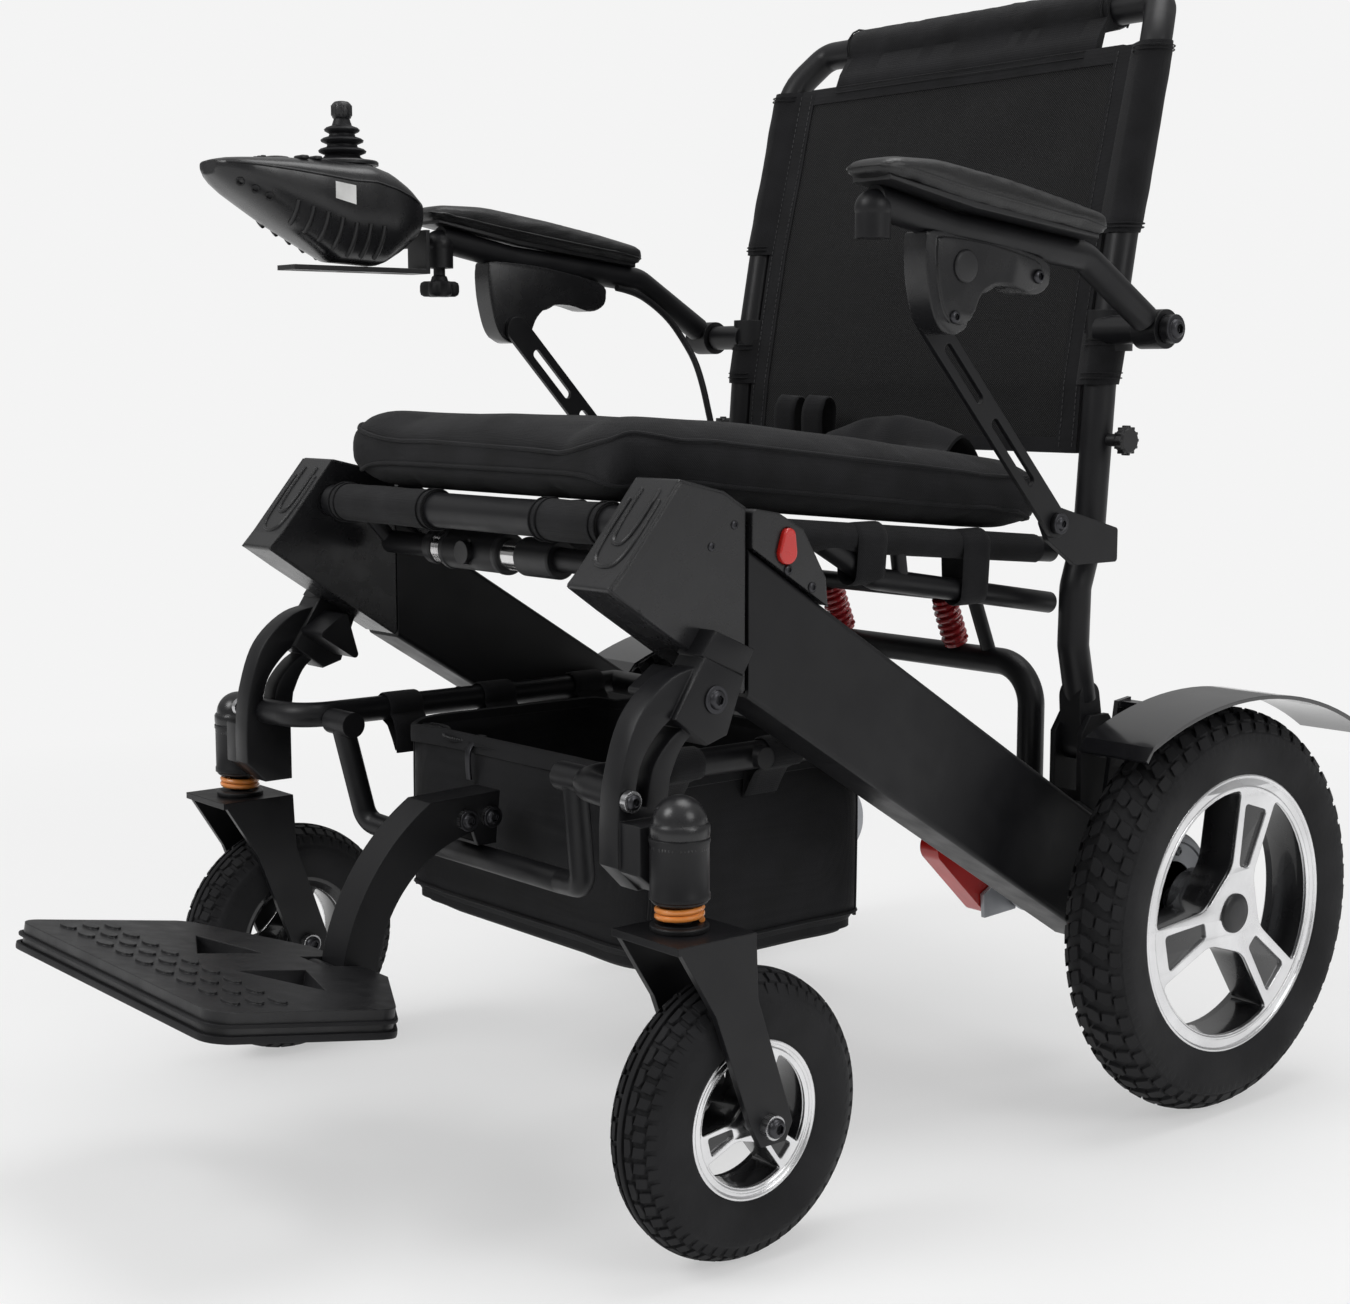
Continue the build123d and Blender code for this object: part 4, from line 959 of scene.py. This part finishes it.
for side, shape in (("left", pad_shape), ("right", pad_shape.mirrored())):
    pad = puffed(shape.save("arm_pad_cover_" + side, "arm_leather"), 0.0035, 3.0, 0.0018)
    dressed(pad, "arm_leather", "armrest_" + side, ["arm_pad_" + side], angle=60)
    welt = Shape()
    line = []
    for k in range(120):
        a = 2 * pi * k / 120
        c, s = cos(a), sin(a)
        y = -240 + 113 * squared(s, 0.3)
        z = value_at(PAD_LOW, y)[0] + 5.5
        x = (268 + 26 * squared(c, 0.3)) * (1 if side == "left" else -1)
        line.append((x, y, z))
    line = hugging(pad, line, 0.2)
    welt.tube([(line[k - 1] + line[k] + line[(k + 1) % 120]) / 3 for k in range(120)], 1.0, 6, loop=True)
    welt.save("arm_pad_welt_" + side, "arm_leather", "armrest_" + side)
pad_base = Shape()
pad_base.prism([(-346, 701), (-262, 686.5), (-132, 671), (-132, 675), (-262, 690.5), (-346, 705)], 250, 286, 1.2)
pair(pad_base, "arm_pad_base", "moulded_black", "armrest_")


# ---------------------------------------------------------------- seat sling and the wraps on its front tube
def rail_height(y):
    """Centre of the upper seat rails."""
    return 474 - 38.5 * (y + 488) / 436


sling = Shape()
rows = []
for k in range(41):
    y = -472 + 10 * k
    z = rail_height(y)
    outer = []
    for way in (-1, 1):
        arc = [(way * (RAIL_X + 11.4 * cos(a)), z + 11.4 * sin(a))
               for a in [radians(-75 + 18 * j) for j in range(10)]]
        outer += arc if way < 0 else arc[::-1]
    middle = [(x, z + 11.0 - 3.5 * (1 - (x / 170) ** 2) + 0.8 * ripple(x, y, 0, 50)) for x in range(-160, 161, 16)]
    outer = outer[:10] + middle + outer[10:]
    inner = [(x * 0.994, zz - 1.3 if abs(x) < 175 else zz + (0.6 if zz < z else -1.2)) for x, zz in outer[::-1]]
    rows.append([(x, y, zz) for x, zz in outer + inner])
sling.grid(rows, wrap=True, caps=True)
sling.save("seat_sling", "seat_fabric", "seat", angle=50)

wraps = Shape()
for low, high in ((-172, -38), (96, 172)):
    rows = []
    for k in range(25):
        x = low + (high - low) * k / 24
        rows.append([(x, -490 + (14.6 + 0.5 * ripple(x, a * 9, 1, 18)) * cos(a),
                      474 + (14.6 + 0.5 * ripple(x, a * 9, 5, 18)) * sin(a)) for a in turns(32)])
    wraps.grid(rows, wrap=True, caps=True)
    for x in (low + 1, low + 8, high - 8, high - 1):
        wraps.tube([(x, -490 + 15.2 * cos(a), 474 + 15.2 * sin(a)) for a in turns(32)], 0.8, 6, loop=True)
wraps.save("front_tube_wraps", "seat_fabric", "seat", angle=50)

straps = Shape()
for y in (-150, -262):
    high, low = rail_height(y), value_at([(-310, 457), (-250, 424), (-52, 393)], y)[0]
    side_loop = [(RAIL_X + 11.9 * cos(a), y, high + 11.9 * sin(a)) for a in [radians(15 * j) for j in range(13)]]
    side_loop += [(RAIL_X + 10 * cos(a), y, low + 10 * sin(a)) for a in [radians(180 + 15 * j) for j in range(13)]]
    straps.tube(side_loop, 1, 10, loop=True, up=(0, 1, 0), flat=(15, 0.9))
pair(straps, "rail_straps", "seat_fabric", "seat", angle=50)


# ---------------------------------------------------------------- storage bag
def bag_row(z, inset):
    """One level slice of the bag's wall: it pulls in between its loops and bellies lower down."""
    row = []
    for a in turns(112, 0.01):
        c, s = cos(a), sin(a)
        x = (157 - inset) * squared(c, 0.16)
        y = -340 + (109 - inset) * squared(s, 0.16)
        belly = sin(pi * min(1.0, (292 - z) / 130))
        flat_x, flat_y = 1 - (x / 157) ** 2, 1 - ((y + 340) / 109) ** 2
        out_y = (3.0 * belly - 2.2 * (1 - belly)) * flat_x + 2.6 * ripple(x, z * 1.8, 1, 46) * flat_x
        out_x = (3.5 * belly - 3.0 * (1 - belly)) * flat_y + 2.6 * ripple(z * 1.8, y, 5, 46) * flat_y
        if abs(c) > abs(s):
            x += out_x * way_of(x)
        else:
            y += out_y * way_of(s)
        drop = 4.5 * (1 - cos(4 * a)) / 2 * ease(240, 292, z)
        sag = -5.0 * flat_x * flat_y * ease(190, 150, z) if z < 190 else 0
        row.append((x, y, z - drop + sag + 1.2 * ripple(x, y, z, 40)))
    return row


bag = Shape()
inner = [bag_row(z, 3.0) for z in (154, 160, 190, 230, 262, 280, 290)]
levels = [292, 286, 276, 262, 244, 226, 208, 190, 176, 166, 158, 153, 150.5]
outer = [bag_row(z, 0.0 if z > 165 else (165 - z) * 0.55) for z in levels]
centre = Vector((0, -340, 0))


def floor_rows(edge, z, shares):
    """Rows that fill the bag's floor from its edge inwards."""
    return [[(x * t, centre.y + (y - centre.y) * t, z + (high - z) * t * t + 1.4 * ripple(x * t, y * t, 3, 50))
             for x, y, high in edge] for t in shares]


bag.grid(floor_rows(inner[0], 152, (0.05, 0.5, 0.9)) + inner + outer
         + floor_rows(outer[-1], 148.5, (0.96, 0.8, 0.5, 0.05)), wrap=True, caps=True)
bag.save("bag_shell", "bag_fabric", "chassis", ["storage_bag"], angle=60)
trim = Shape()
rim_line = [Vector(p) for p in bag_row(291, -0.6)]
trim.tube(rim_line, 1, 8, loop=True, up=(0, 0, 1), flat=(7.5, 2.6))
for way_x in (-1, 1):
    for way_y in (-1, 1):
        edge = []
        for z in (284, 262, 236, 208, 182, 162):
            row = bag_row(z, 0)
            edge.append(max(row, key=lambda p: p[0] * way_x + (p[1] + 340) * way_y))
        trim.tube(flowing(edge, 4), 1.5, 6)
bottom = bag_row(166, -0.8)
trim.tube(bottom, 1.4, 6, loop=True)
trim.save("bag_binding", "bag_fabric", "chassis", finish="seat_fabric")
zip_track, zip_teeth = Shape(), Shape()
for gap in (-3.2, 3.2):
    line = flowing([(-150, -432, 292), (-118, -438, 294), (-86, -446 - gap * 2.2, 292), (-48, -445, 291),
                    (20, -440, 291), (96, -436, 292), (148, -430, 290)], 14)
    line = [p + Vector((0, gap, 0)) for p in line]
    zip_track.tube(line, 1, 8, up=(0, 1, 0.2), flat=(4.2, 0.8))
    for p in line:
        zip_teeth.box(p + Vector((-1.1, -gap * 0.9 - 1, 0.2)), p + Vector((1.1, -gap * 0.9 + 1, 1.8)), 0.3)
zip_track.save("zip_tape", "bag_fabric", "chassis", finish="seat_fabric")
zip_teeth.save("zip_teeth", "bag_fabric", "chassis", finish="rim_black")
puller = Shape()
puller.box((-60, -449, 290), (-51, -439, 297), 1.2)
puller.tube(flowing([(-55, -449, 293), (-54, -455, 285), (-53, -456, 274), (-53, -455, 264)], 5), 1, 8, up=(1, 0, 0),
            flat=(3.2, 1.0))
puller.save("zip_puller", "steel", "chassis", finish="bolt_black")
loops = Shape()
for y in (-438, -345, -250):
    ring = [(RAIL_X + 11.6 * cos(a), y, 305 + 11.6 * sin(a)) for a in [radians(-50 + 18 * j) for j in range(15)]]
    ring = [(158.5, y, 270), (159.5, y, 286), (163, y, 296)] + ring[::-1] + [(172, y, 291), (160.5, y, 272)]
    loops.tube(flowing(ring, 2), 1, 10, up=(0, 1, 0), flat=(16, 1.0))
    for z in (274, 281):
        loops.tube([(161.2, y - 13, z), (161.2, y + 13, z)], 0.5, 5)
pair(loops, "bag_loops", "bag_fabric", "chassis", finish="seat_fabric", angle=50)
rear_loops = Shape()
for x in (-90, 90):
    ring = [(x, -215 + 11.6 * cos(a), 305 + 11.6 * sin(a)) for a in turns(20)]
    rear_loops.tube(ring, 1, 10, loop=True, up=(1, 0, 0), flat=(16, 1.0))
    rear_loops.tube([(x, -229, 268), (x, -228, 290), (x, -224, 298)], 1, 10, up=(1, 0, 0), flat=(16, 1.0))
rear_loops.save("bag_loops_rear", "bag_fabric", "chassis", finish="seat_fabric")


# ---------------------------------------------------------------- springs
orange = Shape()
orange.coil((STEER_X, STEER_Y, 232.9), (0, 0, 1), 14.2, 2.1, 2.0, 4.2, 10)
for side, shape in (("left", orange), ("right", orange.mirrored())):
    spring = shape.save("caster_coil_" + side, "orange_spring", "caster_slider_" + side,
                        ["caster_spring_" + side])
    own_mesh(spring)
collars = Shape()
collars.turned([(0, 9), (0, 17), (1, 18), (6, 18), (7, 16.5), (7, 9)], (STEER_X, STEER_Y, 243.8), (0, 0, 1))
pair(collars, "spring_collar", "moulded_black", "chassis")
seats = Shape()
seats.turned([(0, 9), (0, 18.5), (1, 19), (3.6, 19), (4.6, 17), (4.6, 9)], (STEER_X, STEER_Y, 226), (0, 0, 1))
pair(seats, "spring_seat", "moulded_black", "caster_fork_")
caps = Shape()
caps.turned([(0, 17.5), (0, 19), (3, 19.4), (7.5, 19.4), (9, 18.4)] + [
    (9 + 17.6 * sin(a), 17.6 * cos(a)) for a in [radians(9 * j) for j in range(11)]] + [(8, 0)],
    (STEER_X, STEER_Y, 286), (0, 0, 1), closed=False)
caps.turned([(0, 18), (0, 19), (2.2, 19), (2.2, 18)], (STEER_X, STEER_Y, 279), (0, 0, 1))
pair(caps, "steering_dome", "rubber", "chassis", ["steering_caps"], finish="satin_black")

core, winding = Shape(), Shape()
lean = Vector((0, -0.42, 1)).normalized()
for x in (-68, 68):
    foot = Vector((x, -40, 348)) + lean * 2
    core.turned([(0, 0), (0, 7.6), (40, 7.6), (40, 0)], foot, lean, 24, closed=False)
    winding.coil(foot + lean * 2, lean, 9.6, 1.9, 6, 6.0, 8)
    for reach in (-1, 39):
        winding.turned([(reach, 0), (reach, 10), (reach + 2.6, 10), (reach + 2.6, 0)], foot, lean, 24, closed=False)
core.save("seat_spring_core", "red_spring", "seat", ["seat_springs"])
winding.save("seat_spring_coil", "red_spring", "seat")

# ---------------------------------------------------------------- bolts
STEEL_BOLTS = [
    ("chassis", (258, -472, 364), (1, 0, 0), 6.6, 9.5), ("chassis", (258, -541, 305), (1, 0, 0), 5.2, 0),
    ("chassis", (231, -45, 283), (1, 0, 0), 6.6, 9.5), ("caster_fork_", (329, -482, 97), (1, 0, 0), 6.6, 0),
    ("caster_fork_", (251, -482, 97), (-1, 0, 0), 6.6, 0),
    ("backrest", (281.5, -35, 608), (1, 0, 0), 7.6, 11), ("backrest", (252, -127, 463), (1, 0, 0), 5.4, 8),
    ("armrest_", (272.2, -182, 643), (1, 0, 0), 5.2, 0), ("armrest_", (272.2, -268, 613), (1, 0, 0), 4.6, 0),
    ("backrest", (224, -47, 442), (1, 0, 0), 4.4, 6),
]
fasteners = {}
for body, place, axis, size, washer in STEEL_BOLTS:
    fasteners.setdefault(body, Shape()).bolt(place, axis, size, washer=washer)
for y, z in ((-440.5, 475.3), (-460.4, 461.8)):
    fasteners.setdefault("battery_", Shape()).bolt((239.6, y, z), (1, 0, 0), 3.0, 1.2)
for y, z in ((-395.1, 443.1), (-372.7, 430)):
    fasteners["chassis"].bolt((242.6, y, z), (1, 0, 0), 3.6, 1.6)
for body, shape in fasteners.items():
    pair(shape, "fasteners_" + body.strip("_"), "steel", body, finish="bolt_black")
foot_bolts = Shape()
for y, z in ((-484, 250), (-505, 250)):
    for way in (-1, 1):
        foot_bolts.bolt((way * 20, y, z), (way, 0, 0), 5.4, washer=8)
foot_bolts.save("fasteners_footrest", "steel", "chassis", finish="bolt_black")
buttons = Shape()
for y, z, r in ((-258, 648, 11.5),):
    buttons.turned([(-1, 0), (0, r), (1.6, r), (2.8, r - 1.2), (3.6, r * 0.5), (3.8, 0)], (271.8, y, z), steps=40,
                   closed=False)
pair(buttons, "bracket_button", "moulded_black", "armrest_")
post_knob = Shape()
post_knob.turned([(0, 0), (0, 5), (12, 5), (12, 9), (14, 10.5), (19, 10.5), (21, 9), (21, 0)],
                 (222, -36, 523), steps=32, closed=False)
for k in range(12):
    a = 2 * pi * k / 12
    post_knob.box((235, -37.2 + 10.4 * cos(a), 521.8 + 10.4 * sin(a)),
                  (242, -34.8 + 10.4 * cos(a), 524.2 + 10.4 * sin(a)), 0.5)
pair(post_knob, "post_knob", "moulded_black", "backrest")


# ---------------------------------------------------------------- controller
STICK = Vector((-238, -446, 744))
# rows of y, top, underside and half width
CONTROLLER = [(-566, 739, 728, 15), (-559, 741, 721, 25), (-546, 742, 712, 32), (-528, 743, 701, 36),
              (-510, 744, 690, 38.5), (-485, 744, 677, 41.5), (-460, 744, 664, 43), (-440, 744, 663, 44),
              (-420, 738, 662, 44),
              (-405, 728, 671, 42), (-393, 717, 681, 37)]


def controller_point(y, a, proud=0.0):
    """A point on the controller's skin, at angle a round its section at y."""
    top, low, half = value_at(CONTROLLER, y)
    middle = low + (top - low) * 0.62
    c, s = cos(a), sin(a)
    x = half * squared(c, 0.72)
    z = middle + ((top - middle) * s ** 0.5 if s > 0 else -(middle - low) * (-s) ** 0.95)
    return Vector((STICK.x + x, y, z)) + Vector((c, 0, s)) * proud


shell = Shape()
stations = [-566 + 173 * k / 36 for k in range(37)]
ring = turns(72, 0.02)
skin = [[controller_point(y, a) for a in ring] for y in stations]
for share in (0.7, 0.35, 0.05):  # both ends close in small steps
    skin.insert(0, [p.lerp(Vector((STICK.x, -566.0, 736.5)), 1 - share) for p in skin[0]])
    skin.append([p.lerp(Vector((STICK.x, -392.0, 700)), 1 - share) for p in skin[-1]])
shell.grid(skin, wrap=True, caps=True)
shell.save("controller_shell", "moulded_black", "controller", ["controller_body"], finish="satin_black", angle=40)
lines = Shape()
lines.tube([controller_point(y, 0.18, 0.2) for y in stations[1:-1]] + [controller_point(y, pi - 0.18, 0.2)
           for y in stations[-2:0:-1]], 0.9, 6, loop=True)
for k in range(7):
    y = -508 + 12.5 * k
    for way in (1, -1):
        lines.tube([controller_point(y, -pi / 2 + way * (pi / 2 - a), 0.3)
                    for a in [radians(22 + 6 * j) for j in range(8)]], 2.0, 8)
for y in (-552, -541, -530):
    a = radians(-38)
    lines.turned([(-1, 0), (-1, 3.6), (1.2, 3.6), (1.2, 2.2), (-0.4, 2.2), (-0.4, 0)], controller_point(y, a),
                 (0.75, -0.35, -0.55), 24, closed=False)
lines.turned([(-2, 24.6), (-2, 29), (0.4, 29), (1.4, 28), (1.6, 26), (1.0, 24.6)], STICK, (0, 0, 1), 64)
lines.turned([(-2, 7.4), (-2, 10.4), (0.4, 10.2), (1.2, 9), (1.2, 7.4)], (STICK.x, -506, 744), (0, 0, 1), 40)
for x in (-21, 21):
    for y in (-484, -496):
        lines.box((STICK.x + x - 7, y - 3.4, 742), (STICK.x + x + 7, y + 3.4, 745.4), 1.3)
lines.save("controller_trim", "moulded_black", "controller")
lamps = Shape()
for k in range(5):
    lamps.box((STICK.x - 12 + 6 * k - 1.6, -526.5, 742.6), (STICK.x - 12 + 6 * k + 1.6, -523, 744.4), 0.5)
lamps.save("charge_lamps", "steel", "controller", finish="thread")

boot = Shape()
boot.turned([(-1, 21), (2, 21), (4, 15.5), (6, 14), (8, 18.8), (9.5, 19.4), (11, 17.6), (12.5, 12.6), (14.5, 12),
             (16.5, 16.8), (18, 17.4), (19.5, 15.4), (21, 10.8), (23, 10.2), (25, 14), (26.4, 14.4), (28, 12.6),
             (29.5, 8.2), (33, 7), (35, 6.4), (35, 0)], STICK, (0, 0, 1), 56, closed=False)
boot.save("bellows", "rubber", "joystick", ["joystick_boot"], angle=50)
handle = Shape()
handle.turned([(17, 0), (17, 5), (34, 5.2), (35.5, 7.4), (38, 8.3), (43, 8.4), (46.5, 7.6), (48.4, 5.6), (49, 2.6),
               (49, 0)], STICK, (0, 0, 1), 48, closed=False)
for k in range(16):
    a = 2 * pi * k / 16
    handle.tube([STICK + Vector((8.1 * cos(a), 8.1 * sin(a), z)) for z in (37.5, 40, 44, 45.5)], 0.55, 6)
handle.save("stick_knob", "moulded_black", "joystick", ["joystick"], angle=50)

KNOB_X, KNOB_Y = -262, -338
knob = Shape()
rows = []
for z, size in ((640, 0.0), (640, 0.8), (641.5, 0.95), (644, 1.0), (649, 1.0), (651.6, 0.95), (653, 0.8), (653, 0.0)):
    lobes = [(a, size * (14.3 + 2.5 * cos(6 * a))) for a in turns(72)]
    rows.append([(KNOB_X + r * cos(a), KNOB_Y + r * sin(a), z) for a, r in lobes])
knob.grid(rows, wrap=True)
knob.turned([(0, 0), (0, 8), (5, 6.4), (6, 5), (26, 5), (26, 0)], (KNOB_X, KNOB_Y, 652), (0, 0, 1), 32,
            closed=False)
knob.save("clamp_knob", "moulded_black", "mount_knob", ["mount_knob"], finish="rubber")

# ---------------------------------------------------------------- controller lead
LEAD = [(-253, -152, 652), (-254, -130, 649), (-254, -108, 638), (-253, -89, 624), (-247, -78, 606), (-236, -73, 587),
        (-226, -72, 564), (-220, -70, 539), (-216, -66, 513), (-213, -61, 488)]
LEAD_DIAMETER, LEAD_LENGTH = 0.006, 0.217
route = bpy.data.curves.new("route", "CURVE")
route.dimensions, route.resolution_u = "3D", 10
line = route.splines.new("NURBS")
line.points.add(len(LEAD) - 1)
for point, place in zip(line.points, LEAD):
    point.co = (*at(*place), 1)
line.order_u, line.use_endpoint_u = 3, True
route_mesh = mesh_of(route)
lead_path = [v.co.copy() for v in route_mesh.vertices]
bpy.data.meshes.remove(route_mesh)
lead = Shape()
lead.tube([from_frame(p) for p in lead_path], LEAD_DIAMETER / MM / 2, 16)
cable = lead.save("controller_lead", "rubber", None, ["controller_cable"], angle=50)
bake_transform(cable)

# ---------------------------------------------------------------- battery cases
grips = Shape()
foot, head = Vector((0, -533.5, 450.8)), Vector((0, -489.5, 504))
for half, low, high in ((15.0, 0.04, 0.80), (9.0, 0.30, 0.92)):
    corners = [(-half, high), (-half, low + 0.2), (-half * 0.55, low), (half * 0.55, low), (half, low + 0.2),
               (half, high)]
    grips.tube(flowing([foot.lerp(head, t) + Vector((217 + x, 0, 0)) for x, t in corners], 8), 1.7, 10)
for x in (195.2, 238.8):
    grips.tube(flowing([Vector((x, y, z)) for y, z in ((-519, 422), (-544.6, 438.2), (-534, 449), (-487.6, 505.4),
                                                        (-450, 497.2), (-431, 486))], 1), 0.9, 8)
grips.tube([(193.9, -521, 424), (240.1, -521, 424)], 0.6, 6)
pair(grips, "case_grip", "moulded_black", "battery_", finish="satin_black")

# ---------------------------------------------------------------- footplate edge
tilt = radians(9.8)
PLATE = Matrix.Translation((0, -596, 136)) @ Matrix.Rotation(-tilt, 4, "X")
outline = rounded([Vector((-148, -190, 0)), Vector((148, -190, 0)), Vector((148, -58, 0)), Vector((52, -4, 0)),
                   Vector((-52, -4, 0)), Vector((-148, -58, 0))], 16, 6)
edge = Shape()
for height, wide, proud in ((3.2, 2.6, 1.6), (11.5, 1.2, 0.9)):
    rim = [PLATE @ Vector((p[0] * (1 + proud / 148), -97 + (p[1] + 97) * (1 + proud / 93), height)) for p in outline]
    edge.tube(rim, 1, 8, loop=True, up=PLATE.to_3x3() @ Vector((0, 0, 1)), flat=(wide, 1.7))
edge.save("footplate_bumper", "rubber", "footplate", angle=50)

# ---------------------------------------------------------------- lock bar under the front of the seat
plated, sleeves = Shape(), Shape()
LOCK = Vector((0, -450, 441))
for low, high, size in ((-94, -79, 11.6), (-2, 20, 12.2)):
    plated.turned([(0, 9), (0, size - 0.6), (0.8, size), (high - low - 0.8, size), (high - low, size - 0.6),
                   (high - low, 9)], LOCK + Vector((low, 0, 0)), (1, 0, 0), 40)
for k in range(4):
    plated.turned([(0, 11), (0.4, 12.6), (1.4, 12.6), (1.8, 11)], LOCK + Vector((-92 + 3.4 * k, 0, 0)), (1, 0, 0), 40)
for low, high, size in ((20, 62, 14.6), (-78, -72, 15.8), (-8, -2, 15.8), (-104, -94, 13.4)):
    sleeves.turned([(0, 9), (0, size - 1.2), (1.4, size), (high - low - 1.4, size), (high - low, size - 1.2),
                    (high - low, 9)], LOCK + Vector((low, 0, 0)), (1, 0, 0), 40)
plated.save("lock_plated_sleeves", "steel", "seat", finish="chrome")
sleeves.save("lock_sleeves", "moulded_black", "seat")


# ---------------------------------------------------------------- caster arms
SIDE_VIEW = Matrix(((0, 0, 1, 0), (1, 0, 0, 0), (0, 1, 0, 0), (0, 0, 0, 1)))


def side_on(outline):
    return [Vector((y, z, 0)) for y, z in outline]


blade = [p.xy for p in flowing(side_on([(-470, 387), (-503, 381), (-531, 358), (-545, 322), (-549, 290),
                                        (-549, 262)]), 6)]
blade += [Vector(p) for p in ((-532, 245), (-508, 245), (-508, 296))]
blade += [p.xy for p in flowing(side_on([(-505, 316), (-493, 337), (-466, 353)]), 6)]
middle = flowing(side_on([(-530, 300), (-524, 326), (-508, 345), (-490, 355)]), 6)
ways = [(b - a).normalized() for a, b in zip(middle, middle[1:])] + [(middle[-1] - middle[-2]).normalized()]
slot = [(p + Vector((-w.y, w.x, 0)) * 5).xy for p, w in zip(middle, ways)]
slot += [(p - Vector((-w.y, w.x, 0)) * 5).xy for p, w in list(zip(middle, ways))[::-1]]
arms = Shape()
arms.sheet([blade, slot], 20, 1.6, Matrix.Translation((252, 0, 0)) @ SIDE_VIEW)
arms.prism([(-547, 292), (-547, 260), (-531, 247), (-512, 247), (-512, 292)], 249, 272, 3)
arms.prism([(-506, 354), (-480, 393), (-446, 377), (-461, 339), (-478, 334)], 229, 257.5, 2.5)
arms.prism([(-482, 393), (-446, 377), (-436, 394), (-470, 409)], 229, 256, 2)
arms.turned([(245.6, 9), (245.6, 18.2), (246.6, 19.6), (250, 19.6), (251, 19), (282, 19), (283, 19.6), (285.6, 19.6),
             (286.4, 18.2), (286.4, 9)], (STEER_X, STEER_Y, 0), (0, 0, 1), 56)
pair(arms, "caster_arm_casting", "frame_paint", "chassis", ["caster_arm_"], angle=40)

# ---------------------------------------------------------------- small marks and finishes
label = Shape()
label.grid([[controller_point(y, radians(a), 0.5) for a in (-6, -3, 0, 3, 5)] for y in range(-478, -459, 3)])
label.save("blank_label", "moulded_black", "controller", finish="label")
for name in ("battery_left", "battery_right", "hinge_covers"):
    NODES[name].data.materials[0] = MATERIALS["satin_black"]

# ---------------------------------------------------------------- armrest strut brackets
BRACKET = [(-295, 666), (-288, 671), (-232, 667), (-176, 656), (-167, 648), (-169, 636), (-184, 630), (-208, 635),
           (-230, 634), (-244, 624), (-252, 609), (-262, 601.5), (-276, 602.5), (-286, 612), (-292, 630), (-295, 648)]
curve = [(p.x, p.y) for p in flowing(side_on(BRACKET), 4, True)]
plates = Shape()
plates.prism(curve, 249.4, 270.6, 1.6)
hub = Vector((-232, 645))
plates.prism([tuple(hub + (Vector(p) - hub) * 0.84) for p in curve], 269, 272.2, 1.2)
pair(plates, "bracket_plate", "frame_paint", "armrest_", ["strut_bracket_"], finish="satin_black", angle=40)

# ---------------------------------------------------------------- floor
def floor():
    """A pale floor that fades into the backdrop a few metres out."""
    bpy.ops.mesh.primitive_circle_add(vertices=96, radius=30, fill_type="NGON")
    ground = bpy.context.object
    ground.name = "floor"
    s = Shader("floor", (0.9, 0.9, 0.9), 0.6)
    flat = s.node("ShaderNodeEmission")
    flat.inputs["Color"].default_value = BACKDROP
    distance = s.node("ShaderNodeVectorMath", operation="LENGTH")
    s.link(s.place, distance.inputs[0])
    mix = s.node("ShaderNodeMixShader")
    s.link(s.span(distance.outputs["Value"], 0.5, 1, 0.7, 1.9), mix.inputs["Fac"])
    s.link(s.bsdf.outputs["BSDF"], mix.inputs[1])
    s.link(flat.outputs["Emission"], mix.inputs[2])
    s.link(mix.outputs["Shader"], s.tree.nodes["Material Output"].inputs["Surface"])
    ground.data.materials.append(s.made)


floor()
